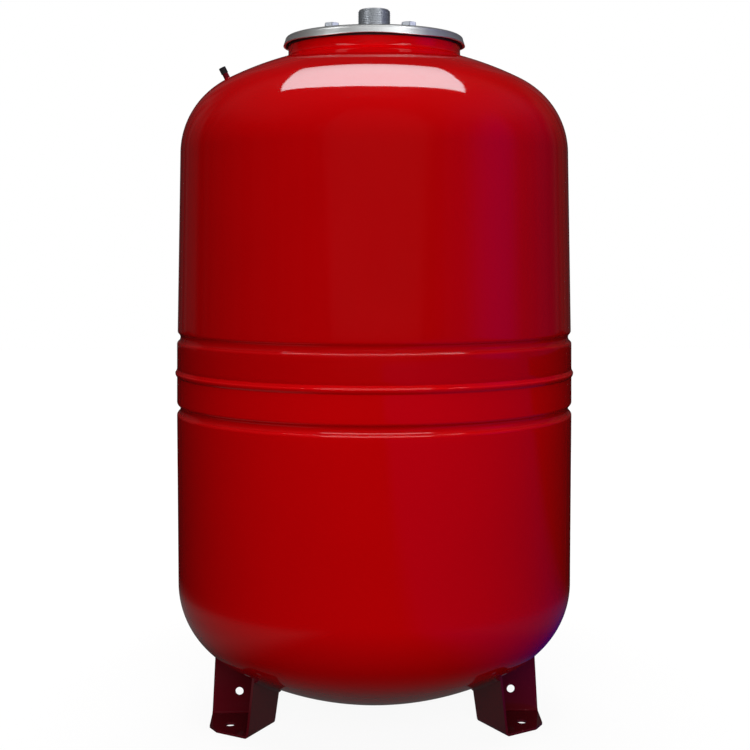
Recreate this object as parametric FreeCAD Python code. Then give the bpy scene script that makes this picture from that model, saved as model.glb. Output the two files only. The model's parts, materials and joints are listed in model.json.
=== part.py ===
import FreeCAD, Part
import math
import os
from FreeCAD import Vector

# Upright membrane expansion vessel of about 150 litres on three folded feet.
# Millimetres, +Z up. The origin is on the floor, on the vessel's axis. The front faces -Y.

# Pressed shells
wall = 1.5                 # sheet of both shells
belly_r = 255.0            # outside, between the two rolled grooves
floor_clear = 10.65        # from the floor to the vessel's lowest point
lower_wall = 268.5         # height of the wall from the lower dish to the seam
upper_wall = 280.5         # height of the wall from the seam to the upper dish
lower_taper = 1.8          # the wall narrows by this down to the lower dish
upper_step = 0.8           # the wall is this much narrower above the upper groove
upper_taper = 3.4          # and narrows by this up to the upper dish
upper_knuckle_r = 105.0
upper_crown_r = 420.0
lower_knuckle_r = 105.0
lower_crown_r = 380.0

# Belly seam and the two rolled grooves
groove_rise = 45.5         # from the seam to the middle of each groove
groove_depth = 4.3
groove_floor_r = 7.0
groove_lip_r = 5.0
lap = 14.0                 # length of the upper rim inside the lower one
lap_clear = 0.15
joggle_rise = 4.0          # height over which the upper rim steps in
bead_proud = 2.5           # weld bead at the seam
bead_height = 10.8
bead_root = 1.2

# Neck ring with six blind threaded holes
neck_r = 112.0
neck_wall = 28.0
neck_height = 20.235       # above the dish, at the ring's outside
neck_clear = 0.2
neck_step = 2.0            # step that takes the lip of the membrane
neck_step_drop = 6.2
neck_weld_leg = 7.0
bolt_hole_spare = 3.0      # thread below the bolt's end
bolt_hole_cone = 2.5
bolt_hole_floor = 2.3      # metal left under the hole's cone

# Pressed flange plate
plate = 3.0
flange_over = 4.0          # the shoulder stands this far outside the neck ring
skirt_flare = 2.5
flange_fold_r = 1.0        # inside of the folded shoulder
flange_skirt_drop = 12.0   # from the top face to the lower edge of the skirt

# Membrane bag
lip = 4.0                  # rubber between the ring and the plate
lip_proud = 1.2            # the lip stands this far outside the neck ring
lip_chamfer = 1.0
lip_clear = 0.1
lip_edge_clear = 0.15
rubber = 2.5
bag_neck_clear = 1.0
bag_gap = 70.0             # from the bag to the outside of the belly
bag_top_drop = 18.0        # the bag's side ends this far under the wall's upper end
bag_bottom_rise = 141.0    # and this far above the wall's lower end
bag_knuckle_r = 90.0
bag_crown_r = 260.0

# Connection nipple: pipe of 42.4 mm with a G 1 1/4 outside thread
nipple_r = 20.955          # crests of the thread
nipple_pipe_r = 21.2
nipple_pipe = 4.5          # plain pipe above the flange plate
nipple_wall = 3.7
nipple_height = 37.2       # above the flange plate
nipple_under = 5.0         # length below the plate
nipple_edge_r = 4.0
nipple_inner_chamfer = 0.8
nipple_clear = 0.1
nipple_weld_leg = 4.0

# Six M10 hexagon bolts
bolt_count = 6
bolt_edge = 16.0           # from a bolt's middle to the ring's outside
bolt_start = 25.0          # degrees from the front towards +X
bolt_r = 5.0
bolt_flats = 17.0
bolt_head = 6.4
bolt_length = 24.0
bolt_chamfer = 0.8
bolt_hole_clear = 0.5
tap_clear = 0.05
hex_turn = 8.0             # degrees

# Gas filling valve, an 8 mm tyre-type valve on the upper dish
valve_azimuth = -83.5      # degrees from the front towards +X
valve_in = 65.0            # from the belly's outside in to the foot of the stem
stem_r = 3.85
stem_inside = 6.0
stem_length = 15.0         # above the dish
stem_clear = 0.1
stem_weld_leg = 2.2
gas_bore_r = 1.7
core_clear = 0.15
core_bore_spare = 2.0      # free length under the pin
core_top = 0.6             # below the stem's end
core_length = 9.2
core_guide = 2.8           # length of the guide at the core's lower end
core_wall = 0.5
guide_clear = 0.25
gasket_section = 1.4
gasket_wall = 0.4
gasket_clear = 0.05
pin_r = 0.8
pin_top = 0.8              # below the stem's end
pin_head_edge = 0.15       # the head covers the spring by this
pin_head_clear = 0.35
pin_head_drop = 1.0
pin_head = 0.6
poppet_edge = 0.75         # the poppet covers the guide's hole by this
poppet = 0.8
disc_seal = 1.4            # rubber on the poppet
disc_seal_clear = 0.02
spring_clear = 0.25        # from the pin to the coils
spring_wire_r = 0.2
spring_turns = 6
spring_gap = 0.1
cap_wall = 0.53
cap_length = 8.4
cap_end_wall = 1.6
cap_clear = 0.12
cap_edge = 0.6
cap_seal = 0.7
cap_seal_r = 3.0
cap_seal_clear = 0.1

# Feet, each one folded sheet: a pad with a pointed toe and two side wings
foot_count = 3
foot_start = -60.0         # degrees from the front towards +X
foot_names = ("foot_left", "foot_right", "foot_rear")
foot_hole_sides = (-1, 1, 1)    # the wing with a hole: 1 is on the left, looking out to the toe
foot_sheet = 3.0
foot_in = 25.0             # the toe's edge stands this far inside the belly
foot_toe = 22.3            # from the toe's edge to the widest place
foot_length = 52.0         # from the widest place to the back edge
foot_back_half = 19.0
foot_side_half = 50.0
foot_toe_half = 10.0
foot_fold_r = 2.5          # inside of the fold
wing_lean = 5.8            # degrees out of the vertical
wing_front_rake = 2.3      # degrees
wing_back_rake = 5.7       # degrees
wing_gap = 0.1
pad_hole_r = 6.25
pad_hole_back = 23.2       # from the toe's edge
wing_hole_r = 5.0
wing_hole_back = 32.5      # from the wing's front edge
wing_hole_rise = 29.2
foot_weld_r = 4.2
foot_weld_blob = 0.4       # the bead's ends are this much fuller
foot_weld_inset = 4.0
fillet_sag = 0.38          # how hollow a fillet is, as a share of its leg

UP = Vector(0, 0, 1)
ORIGIN = Vector(0, 0, 0)


def save(name, shape):
    shape.exportStep("parts/%s.step" % name)


def at(r, z):
    """A point of a section, at radius r and height z."""
    return Vector(r, 0, z)


def line(a, b):
    return Part.LineSegment(at(*a), at(*b)).toShape()


def arc(centre, radius, start, end):
    """An arc of a section; angles in radians from the outward direction."""
    points = []
    for angle in (start, (start + end) / 2, end):
        points.append(at(centre[0] + radius * math.cos(angle), centre[1] + radius * math.sin(angle)))
    return Part.Arc(*points).toShape()


def turned(edges):
    """The solid that a closed section makes round the axis."""
    return Part.Face(Part.Wire(edges)).revolve(ORIGIN, UP, 360)


def outline(points):
    """The straight edges that join the points of a closed section."""
    pairs = zip(points, points[1:] + points[:1])
    return [line(a, b) for a, b in pairs]


def ring(inner, outer, low, high):
    return turned(outline([(inner, low), (outer, low), (outer, high), (inner, high)]))


def rod(radius, low, high):
    return Part.makeCylinder(radius, high - low, Vector(0, 0, low))


def round_axis(shape, azimuth):
    """The shape turned from the front (-Y) by azimuth degrees towards +X."""
    copy = shape.copy()
    copy.rotate(ORIGIN, UP, azimuth)
    return copy


def circle_of(shape, count, start):
    return [round_axis(shape, start + step * 360.0 / count) for step in range(count)]


def dish_rise(tangent_r, knuckle_r, crown_r):
    """How far the knuckle's centre lies from the crown's centre, along the axis."""
    return math.sqrt((crown_r - knuckle_r) ** 2 - (tangent_r - knuckle_r) ** 2)


def dish_depth(tangent_r, knuckle_r, crown_r):
    return crown_r - dish_rise(tangent_r, knuckle_r, crown_r)


class Dish:
    """A dished end: a knuckle arc that runs into a crown arc. side is 1 above, -1 below."""

    def __init__(self, tangent_r, tangent_z, knuckle_r, crown_r, side):
        self.tangent_z = tangent_z
        self.knuckle_r = knuckle_r
        self.crown_r = crown_r
        self.side = side
        self.knuckle_x = tangent_r - knuckle_r
        rise = dish_rise(tangent_r, knuckle_r, crown_r)
        self.crown_z = tangent_z - side * rise
        self.turn = math.atan2(rise, self.knuckle_x)
        self.turn_r = crown_r * math.cos(self.turn)

    def edges(self, offset, end_r):
        """Knuckle and crown from the wall to radius end_r, set in by offset."""
        crown = self.crown_r - offset
        end = math.acos(end_r / crown)
        knuckle_centre = (self.knuckle_x, self.tangent_z)
        side = self.side
        return [arc(knuckle_centre, self.knuckle_r - offset, 0, side * self.turn),
                arc((0, self.crown_z), crown, side * self.turn, side * end)]

    def height(self, r, offset=0.0):
        """Height of the surface at radius r."""
        if r <= (self.crown_r - offset) * math.cos(self.turn):
            return self.crown_z + self.side * math.sqrt((self.crown_r - offset) ** 2 - r ** 2)
        reach = r - self.knuckle_x
        return self.tangent_z + self.side * math.sqrt((self.knuckle_r - offset) ** 2 - reach ** 2)

    def tilt(self, r):
        """Angle in degrees between the outward normal at radius r and the axis."""
        if r <= self.turn_r:
            return math.degrees(math.asin(r / self.crown_r))
        return math.degrees(math.asin((r - self.knuckle_x) / self.knuckle_r))


upper_wall_r = belly_r - upper_step
upper_tangent_r = upper_wall_r - upper_taper
lower_tangent_r = belly_r - lower_taper
lower_tangent_z = floor_clear + dish_depth(lower_tangent_r, lower_knuckle_r, lower_crown_r)
seam_z = lower_tangent_z + lower_wall
upper_tangent_z = seam_z + upper_wall
upper_dish = Dish(upper_tangent_r, upper_tangent_z, upper_knuckle_r, upper_crown_r, 1)
lower_dish = Dish(lower_tangent_r, lower_tangent_z, lower_knuckle_r, lower_crown_r, -1)
groove_low_z = seam_z - groove_rise
groove_high_z = seam_z + groove_rise

neck_bore_r = neck_r - neck_wall
neck_step_r = neck_r - neck_step
neck_top_z = upper_dish.height(neck_r) + neck_height
neck_step_z = neck_top_z - neck_step_drop
bolt_circle_r = neck_r - bolt_edge
bolt_hole_depth = bolt_length - plate - lip + bolt_hole_spare

flange_under_z = neck_top_z + lip
flange_top_z = flange_under_z + plate
flange_corner_r = flange_fold_r + plate
flange_shoulder_r = neck_r + flange_over
flange_skirt_r = flange_shoulder_r + skirt_flare
nipple_bore_r = nipple_pipe_r - nipple_wall
nipple_top_z = flange_top_z + nipple_height

guide_r = pin_r + guide_clear
poppet_r = guide_r + poppet_edge
spring_r = pin_r + spring_clear + spring_wire_r
pin_head_r = spring_r + spring_wire_r + pin_head_edge
core_r = pin_head_r + pin_head_clear + core_wall
core_bore_r = core_r + core_clear
core_bore_depth = core_top + core_length + disc_seal + poppet + core_bore_spare
cap_bore_r = stem_r + cap_clear
valve_reach = belly_r - valve_in

foot_toe_r = belly_r - foot_in
foot_side_r = foot_toe_r - foot_toe
foot_back_r = foot_side_r - foot_length
foot_bend_r = foot_fold_r + foot_sheet
wing_blank = lower_tangent_z    # cut back to the lower dish


def groove_half(wall_r):
    """Half the height of a groove, from its middle to where its lip meets the wall."""
    depth = wall_r - (belly_r - groove_depth)
    both = groove_lip_r + groove_floor_r
    return math.sqrt(both ** 2 - (both - depth) ** 2)


def groove_edges(middle_z, below_r, above_r, offset):
    """A rolled groove from below to above: lip, floor, lip, all tangent."""
    floor_x = belly_r - groove_depth + groove_floor_r
    swing_below = math.atan2(groove_half(below_r), floor_x - (below_r - groove_lip_r))
    swing_above = math.atan2(groove_half(above_r), floor_x - (above_r - groove_lip_r))
    lip_below = (below_r - groove_lip_r, middle_z - groove_half(below_r))
    lip_above = (above_r - groove_lip_r, middle_z + groove_half(above_r))
    return [arc(lip_below, groove_lip_r - offset, 0, swing_below),
            arc((floor_x, middle_z), groove_floor_r + offset, math.pi + swing_below, math.pi - swing_above),
            arc(lip_above, groove_lip_r - offset, -swing_above, 0)]


def upper_side(offset, end_r):
    """Upper shell from its rim to the neck hole, set in by offset."""
    rim_r = belly_r - wall - lap_clear - offset
    belly = belly_r - offset
    step_z = seam_z + joggle_rise
    groove_start = groove_high_z - groove_half(belly_r)
    groove_end = groove_high_z + groove_half(upper_wall_r)
    edges = [line((rim_r, seam_z - lap), (rim_r, seam_z)),
             line((rim_r, seam_z), (belly, step_z)),
             line((belly, step_z), (belly, groove_start))]
    edges += groove_edges(groove_high_z, belly_r, upper_wall_r, offset)
    edges.append(line((upper_wall_r - offset, groove_end), (upper_tangent_r - offset, upper_tangent_z)))
    return edges + upper_dish.edges(offset, end_r)


def lower_side(offset):
    """Lower shell from its rim down to the axis, set in by offset."""
    belly = belly_r - offset
    groove_start = groove_low_z + groove_half(belly_r)
    groove_end = groove_low_z - groove_half(belly_r)
    groove = groove_edges(groove_low_z, belly_r, belly_r, offset)
    edges = [line((belly, seam_z), (belly, groove_start))]
    edges += groove[::-1]
    edges.append(line((belly, groove_end), (lower_tangent_r - offset, lower_tangent_z)))
    return edges + lower_dish.edges(offset, 0.0)


def make_upper_shell():
    hole_r = neck_r + neck_clear
    inner = upper_side(wall, hole_r)
    rim = line((belly_r - wall - lap_clear, seam_z - lap), (belly_r - 2 * wall - lap_clear, seam_z - lap))
    hole = line((hole_r, upper_dish.height(hole_r)), (hole_r, upper_dish.height(hole_r, wall)))
    shell = turned(upper_side(0.0, hole_r) + [hole] + inner[::-1] + [rim])
    valve_hole = on_valve(rod(stem_r + stem_clear, -stem_inside, stem_inside))
    return shell.cut(valve_hole)


def make_lower_shell():
    bottom = lower_dish.crown_z - lower_crown_r
    rim = line((belly_r, seam_z), (belly_r - wall, seam_z))
    axis = line((0, bottom), (0, bottom + wall))
    return turned(lower_side(0.0) + [axis] + lower_side(wall)[::-1] + [rim])


def make_belly_weld(upper, lower):
    """A raised bead over the lower rim and the step of the upper one."""
    half = bead_height / 2
    cap_arc = Part.Arc(at(belly_r, seam_z - half), at(belly_r + bead_proud, seam_z),
                       at(belly_r, seam_z + half)).toShape()
    root = belly_r - bead_root
    edges = [cap_arc, line((belly_r, seam_z + half), (root, seam_z + half)),
             line((root, seam_z + half), (root, seam_z - half)),
             line((root, seam_z - half), (belly_r, seam_z - half))]
    return largest(turned(edges).cut(upper).cut(lower))


def largest(shape):
    return max(shape.Solids, key=lambda solid: solid.Volume)


def bolt_places(shape):
    moved = shape.copy()
    moved.translate(Vector(0, -bolt_circle_r, 0))
    return circle_of(moved, bolt_count, bolt_start)


def make_neck_ring():
    hole_low = neck_top_z - bolt_hole_depth
    low = hole_low - bolt_hole_cone - bolt_hole_floor
    body = turned(outline([(neck_bore_r, low), (neck_r, low), (neck_r, neck_step_z),
                           (neck_step_r, neck_step_z), (neck_step_r, neck_top_z),
                           (neck_bore_r, neck_top_z)]))
    hole = rod(bolt_r + tap_clear, hole_low, neck_top_z)
    cone = Part.makeCone(0, bolt_r + tap_clear, bolt_hole_cone, Vector(0, 0, hole_low - bolt_hole_cone))
    return body.cut(bolt_places(hole.fuse(cone)))


def make_neck_weld(shell, neck):
    """A hollow fillet between the dish and the neck ring."""
    foot_r = neck_r + neck_weld_leg
    foot_z = upper_dish.height(foot_r)
    top_z = upper_dish.height(neck_r) + neck_weld_leg
    sag = neck_weld_leg * fillet_sag
    face = Part.Arc(at(foot_r, foot_z), at(neck_r + sag, top_z - neck_weld_leg + sag),
                    at(neck_r, top_z)).toShape()
    deep = upper_dish.height(foot_r, wall)
    edges = [face, line((neck_r, top_z), (neck_r, deep)), line((neck_r, deep), (foot_r, deep)),
             line((foot_r, deep), (foot_r, foot_z))]
    return largest(turned(edges).cut(shell).cut(neck))


def make_flange_plate():
    """A pressed cover with a turned-down skirt that flares a little."""
    inner_r = nipple_pipe_r + nipple_clear
    low = flange_top_z - flange_skirt_drop
    corner = (flange_shoulder_r - flange_corner_r, flange_top_z - flange_corner_r)
    edges = [line((inner_r, flange_top_z), (corner[0], flange_top_z)),
             arc(corner, flange_corner_r, math.pi / 2, 0),
             line((flange_shoulder_r, corner[1]), (flange_skirt_r, low)),
             line((flange_skirt_r, low), (flange_skirt_r - plate, low)),
             line((flange_skirt_r - plate, low), (flange_shoulder_r - plate, corner[1])),
             arc(corner, flange_fold_r, 0, math.pi / 2),
             line((corner[0], flange_under_z), (inner_r, flange_under_z)),
             line((inner_r, flange_under_z), (inner_r, flange_top_z))]
    hole = rod(bolt_r + bolt_hole_clear, flange_under_z, flange_top_z)
    return turned(edges).cut(bolt_places(hole))


def make_membrane():
    """A rubber bag whose lip is clamped between the neck ring and the flange plate."""
    bag_r = belly_r - bag_gap
    bag_top_z = upper_tangent_z - bag_top_drop
    bag_bottom_z = lower_tangent_z + bag_bottom_rise
    top = Dish(bag_r, bag_top_z, bag_knuckle_r, bag_crown_r, 1)
    bottom = Dish(bag_r, bag_bottom_z, bag_knuckle_r, bag_crown_r, -1)
    throat = neck_bore_r - bag_neck_clear
    inner_throat = throat - rubber
    lip_low = neck_top_z + lip_clear
    lip_high = flange_under_z - lip_clear
    edge_low = neck_step_z + lip_clear
    edge_in = neck_step_r + lip_edge_clear
    edge_out = neck_r + lip_proud
    corner_out = flange_shoulder_r - plate - lip_edge_clear
    corner_low = flange_top_z - flange_corner_r - lip_clear
    outer = top.edges(0.0, throat)
    inner = top.edges(rubber, inner_throat)
    start = (throat, top.height(throat))
    stop = (inner_throat, top.height(inner_throat, rubber))
    lip_points = [start, (throat, lip_low), (edge_in, lip_low), (edge_in, edge_low), (edge_out, edge_low),
                  (corner_out, corner_low), (corner_out - lip_chamfer, lip_high),
                  (inner_throat, lip_high), stop]
    edges = [line((bag_r, bag_bottom_z), (bag_r, bag_top_z))] + outer
    edges += [line(a, b) for a, b in zip(lip_points, lip_points[1:])]
    edges += inner[::-1]
    edges.append(line((bag_r - rubber, bag_top_z), (bag_r - rubber, bag_bottom_z)))
    edges += bottom.edges(rubber, 0.0)
    low = bottom.crown_z - bag_crown_r
    edges.append(line((0, low + rubber), (0, low)))
    edges += bottom.edges(0.0, 0.0)[::-1]
    hole = rod(bolt_r + bolt_hole_clear, neck_top_z, flange_under_z)
    return turned(edges).cut(bolt_places(hole))


def make_nipple():
    low = flange_under_z - nipple_under
    edge = (nipple_r - nipple_edge_r, nipple_top_z - nipple_edge_r)
    bore = nipple_bore_r
    rim_reach = bore + nipple_inner_chamfer - edge[0]
    stop = math.acos(max(rim_reach, 0.0) / nipple_edge_r)
    rim_z = edge[1] + nipple_edge_r * math.sin(stop)
    pipe_end = flange_top_z + nipple_pipe
    thread_end = pipe_end + nipple_pipe_r - nipple_r
    edges = [line((bore, low), (nipple_pipe_r, low)),
             line((nipple_pipe_r, low), (nipple_pipe_r, pipe_end)),
             line((nipple_pipe_r, pipe_end), (nipple_r, thread_end)),
             line((nipple_r, thread_end), (nipple_r, edge[1])),
             arc(edge, nipple_edge_r, 0, stop),
             line((edge[0] + nipple_edge_r * math.cos(stop), rim_z), (bore, rim_z - nipple_inner_chamfer)),
             line((bore, rim_z - nipple_inner_chamfer), (bore, low))]
    return turned(edges)


def make_nipple_weld():
    """A hollow fillet between the flange plate and the nipple."""
    outer = nipple_pipe_r + nipple_weld_leg
    sag = nipple_weld_leg * fillet_sag
    face = Part.Arc(at(outer, flange_top_z), at(nipple_pipe_r + sag, flange_top_z + sag),
                    at(nipple_pipe_r, flange_top_z + nipple_weld_leg)).toShape()
    edges = [face, line((nipple_pipe_r, flange_top_z + nipple_weld_leg), (nipple_pipe_r, flange_top_z)),
             line((nipple_pipe_r, flange_top_z), (outer, flange_top_z))]
    return turned(edges)


def make_bolt():
    """A hexagon bolt with its head on the flange plate, on the axis."""
    corner_r = bolt_flats / math.sqrt(3)
    points = []
    for step in range(7):
        angle = math.radians(hex_turn + 60 * step)
        points.append(Vector(corner_r * math.cos(angle), corner_r * math.sin(angle), flange_top_z))
    head = Part.Face(Part.makePolygon(points)).extrude(Vector(0, 0, bolt_head))
    fall = corner_r * math.tan(math.radians(30))
    crown = Part.makeCone(corner_r * 2, 0, fall * 2, Vector(0, 0, flange_top_z + bolt_head))
    crown.translate(Vector(0, 0, -fall + (corner_r - bolt_flats / 2) * math.tan(math.radians(30))))
    head = head.common(crown)
    end = flange_top_z - bolt_length
    shank = rod(bolt_r, end + bolt_chamfer, flange_top_z + bolt_head / 2)
    point = Part.makeCone(bolt_r - bolt_chamfer, bolt_r, bolt_chamfer, Vector(0, 0, end))
    return head.fuse([shank, point]).removeSplitter()


def on_valve(shape):
    """Carries a shape built along +Z, from the dish up, to the valve's place."""
    tilt = upper_dish.tilt(valve_reach)
    copy = shape.copy()
    copy.rotate(ORIGIN, Vector(1, 0, 0), tilt)
    copy.translate(Vector(0, -valve_reach, upper_dish.height(valve_reach)))
    return round_axis(copy, valve_azimuth)


def make_stem():
    body = rod(stem_r, -stem_inside, stem_length)
    body = body.cut(rod(core_bore_r, stem_length - core_bore_depth, stem_length))
    return on_valve(body.cut(rod(gas_bore_r, -stem_inside, stem_length)))


def make_stem_weld(shell):
    """A small hollow fillet round the foot of the stem."""
    outer = stem_r + stem_weld_leg
    sag = stem_weld_leg * fillet_sag
    face = Part.Arc(at(outer, 0), at(stem_r + sag, sag), at(stem_r, stem_weld_leg)).toShape()
    edges = [face, line((stem_r, stem_weld_leg), (stem_r, -wall)), line((stem_r, -wall), (outer, -wall)),
             line((outer, -wall), (outer, 0))]
    return largest(on_valve(turned(edges)).cut(shell))


def core_levels():
    """Heights above the dish of the valve core's lower and upper ends."""
    top = stem_length - core_top
    return top - core_length, top


def make_core_body():
    low, top = core_levels()
    chamber = rod(core_r - core_wall, low + core_guide, top)
    groove_low = low + (core_guide - gasket_section) / 2
    groove = ring(core_r - gasket_wall, core_bore_r, groove_low, groove_low + gasket_section)
    body = rod(core_r, low, top).cut([chamber, rod(guide_r, low, top), groove])
    return on_valve(body)


def make_core_gasket():
    low = core_levels()[0] + (core_guide - gasket_section) / 2
    inner = core_r - gasket_wall + gasket_clear
    outer = core_bore_r - gasket_clear
    return on_valve(ring(inner, outer, low + gasket_clear, low + gasket_section - gasket_clear))


def pin_levels():
    """Heights above the dish of the pin's lower end, its head's underside and its top."""
    low = core_levels()[0] - disc_seal - poppet
    top = stem_length - pin_top
    return low, top - pin_head_drop - pin_head, top


def make_core_pin():
    low, head, top = pin_levels()
    poppet_disc = rod(poppet_r, low, low + poppet)
    head_disc = rod(pin_head_r, head, head + pin_head)
    return on_valve(rod(pin_r, low, top).fuse([poppet_disc, head_disc]).removeSplitter())


def make_core_seal():
    low = pin_levels()[0] + poppet
    return on_valve(ring(pin_r + disc_seal_clear, poppet_r, low, low + disc_seal))


def make_core_spring():
    """A helix of round wire between the core's guide and the pin's head."""
    low = core_levels()[0] + core_guide + spring_wire_r + spring_gap
    high = pin_levels()[1] - spring_wire_r - spring_gap
    path = Part.makeHelix((high - low) / spring_turns, high - low, spring_r)
    circle = Part.Circle(Vector(spring_r, 0, 0), Vector(0, 1, 0), spring_wire_r).toShape()
    wire = Part.Wire(path).makePipeShell([Part.Wire(circle)], True, True)
    wire.translate(Vector(0, 0, low))
    return on_valve(wire)


def make_cap():
    """A moulded cap, open at its lower end."""
    inner = stem_length + cap_seal_clear + cap_seal
    top = inner + cap_end_wall
    cap_start = top - cap_length
    cap_r = cap_bore_r + cap_wall
    body = turned(outline([(0, cap_start), (cap_r, cap_start), (cap_r, top - cap_edge),
                           (cap_r - cap_edge, top), (0, top)]))
    return on_valve(body.cut(rod(cap_bore_r, cap_start, inner)))


def make_cap_seal():
    low = stem_length + cap_seal_clear
    return on_valve(rod(cap_seal_r, low, low + cap_seal))


class Wing:
    """The outer face of one side wing of a foot, in the frame of a foot that points along +X."""

    def __init__(self, side):
        self.corner = Vector(foot_back_r, side * foot_back_half, 0)
        fold = Vector(foot_side_r, side * foot_side_half, 0) - self.corner
        self.length = fold.Length
        self.along = fold.normalize()
        self.level = Vector(-side * self.along.y, side * self.along.x, 0)
        lean = math.radians(wing_lean)
        self.rise = UP * math.cos(lean) + self.level * math.sin(lean)
        self.out = self.level * math.cos(lean) - UP * math.sin(lean)

    def point(self, reach, height):
        return self.corner + self.along * reach + self.rise * height

    def reach_at(self, height, front):
        rake = wing_front_rake if front else wing_back_rake
        start = self.length if front else 0.0
        return start - height * math.tan(math.radians(rake))

    def sheet(self):
        corners = [self.point(0, 0), self.point(self.length, 0),
                   self.point(self.reach_at(wing_blank, True), wing_blank),
                   self.point(self.reach_at(wing_blank, False), wing_blank)]
        face = Part.Face(Part.makePolygon(corners + corners[:1]))
        return face.extrude(self.out * -foot_sheet)

    def corner_block(self, radius, start, length):
        """The square corner outside an arc of this radius round the fold's own centre."""
        swing = math.radians(90 + wing_lean) / 2
        centre = self.level * (-foot_bend_r / math.tan(swing)) + UP * foot_bend_r
        tip = centre * (1 - radius / foot_bend_r)
        low = centre - UP * radius
        high = centre + self.out * radius
        middle = centre + (tip - centre).normalize() * radius
        bend = Part.Arc(low, middle, high).toShape()
        edges = [bend, Part.LineSegment(high, tip).toShape(), Part.LineSegment(tip, low).toShape()]
        face = Part.Face(Part.Wire(edges))
        face.translate(self.corner + self.along * start)
        return face.extrude(self.along * length)

    def hole(self):
        middle = self.point(self.reach_at(wing_hole_rise, True) - wing_hole_back, wing_hole_rise)
        start = middle + self.out * foot_sheet
        return Part.makeCylinder(wing_hole_r, 3 * foot_sheet, start, self.out * -1)

    def under_dish(self, front_share):
        """The point where the outer face meets the lower dish, front_share along the wing."""
        low = 0.0
        high = wing_blank
        for _ in range(50):
            height = (low + high) / 2
            back = self.reach_at(height, False) + foot_weld_inset
            front = self.reach_at(height, True) - foot_weld_inset
            spot = self.point(back + front_share * (front - back), height)
            if spot.z < lower_dish.height(math.hypot(spot.x, spot.y)):
                low = height
            else:
                high = height
        return spot

    def weld(self, dish):
        """A rounded fillet along the top of the outer face."""
        points = [self.under_dish(share) for share in (0.0, 0.5, 1.0)]
        seam = Part.Arc(*points).toShape()
        circle = seam.Curve
        tangent = circle.Axis.cross(points[0] - circle.Center)
        disc = Part.Face(Part.Wire(Part.Circle(points[0], tangent, foot_weld_r).toShape()))
        swing = math.degrees(seam.LastParameter - seam.FirstParameter)
        bead = disc.revolve(circle.Center, circle.Axis, swing)
        ends = [Part.makeSphere(foot_weld_r + foot_weld_blob, spot) for spot in (points[0], points[-1])]
        size = 3 * wing_blank
        inside = Part.makeBox(size, size, size, Vector(-size / 2, -size / 2, -size))
        behind = FreeCAD.Placement(self.corner, FreeCAD.Rotation(UP, self.out))
        inside.Placement = behind.multiply(inside.Placement)
        return largest(bead.fuse(ends).cut([dish, inside]))


def make_dish_form(offset):
    """The lower dish as a filled form, set in by offset."""
    wall_r = lower_tangent_r - offset
    bottom = lower_dish.crown_z - lower_crown_r + offset
    top = seam_z
    rest = [line((0, bottom), (0, top)), line((0, top), (wall_r, top)),
            line((wall_r, top), (wall_r, lower_tangent_z))]
    return turned(lower_dish.edges(offset, 0.0) + rest)


def make_foot(hole_side):
    """One foot that points along +X: pad, wings, folds and holes, cut to the lower dish."""
    corners = [(foot_back_r, -foot_back_half), (foot_side_r, -foot_side_half), (foot_toe_r, -foot_toe_half),
               (foot_toe_r, foot_toe_half), (foot_side_r, foot_side_half), (foot_back_r, foot_back_half)]
    loop = [Vector(x, y, 0) for x, y in corners + corners[:1]]
    foot = Part.Face(Part.makePolygon(loop)).extrude(UP * foot_sheet)
    wings = [Wing(1), Wing(-1)]
    folds = [wing.corner_block(foot_fold_r, 0.0, wing.length) for wing in wings]
    foot = foot.fuse([wing.sheet() for wing in wings] + folds)
    outside = [wing.corner_block(foot_bend_r, -wing_blank, 2 * wing_blank + wing.length) for wing in wings]
    pad_hole = Part.makeCylinder(pad_hole_r, foot_sheet, Vector(foot_toe_r - pad_hole_back, 0, 0))
    cuts = outside + [Wing(hole_side).hole(), pad_hole, make_dish_form(-wing_gap)]
    return largest(foot.cut(cuts).removeSplitter())


def place_feet(shape):
    """Copies of a shape that points along +X, one for each foot."""
    forward = shape.copy()
    forward.rotate(ORIGIN, UP, -90)
    return circle_of(forward, foot_count, foot_start)


def main():
    os.makedirs("parts", exist_ok=True)
    upper = make_upper_shell()
    lower = make_lower_shell()
    neck = make_neck_ring()
    save("upper_shell", upper)
    save("lower_shell", lower)
    save("belly_weld", make_belly_weld(upper, lower))
    save("neck_ring", neck)
    save("neck_weld", make_neck_weld(upper, neck))
    save("membrane", make_membrane())
    save("flange_plate", make_flange_plate())
    save("connection_nipple", make_nipple())
    save("nipple_weld", make_nipple_weld())
    save("flange_bolts", Part.makeCompound(bolt_places(make_bolt())))
    save("valve_stem", make_stem())
    save("valve_stem_weld", make_stem_weld(upper))
    save("valve_core_body", make_core_body())
    save("valve_core_gasket", make_core_gasket())
    save("valve_core_pin", make_core_pin())
    save("valve_core_seal", make_core_seal())
    save("valve_core_spring", make_core_spring())
    save("valve_cap", make_cap())
    save("valve_cap_seal", make_cap_seal())
    for place, name in enumerate(foot_names):
        save(name, place_feet(make_foot(foot_hole_sides[place]))[place])
    bead = Wing(1).weld(make_dish_form(0.0))
    beads = Part.makeCompound([bead, bead.mirror(ORIGIN, Vector(0, 1, 0))])
    for name, pair in zip(foot_names, place_feet(beads)):
        save(name + "_welds", pair)


main()
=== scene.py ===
import json
import math

import bmesh
import bpy
from mathutils import Matrix, Vector

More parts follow.
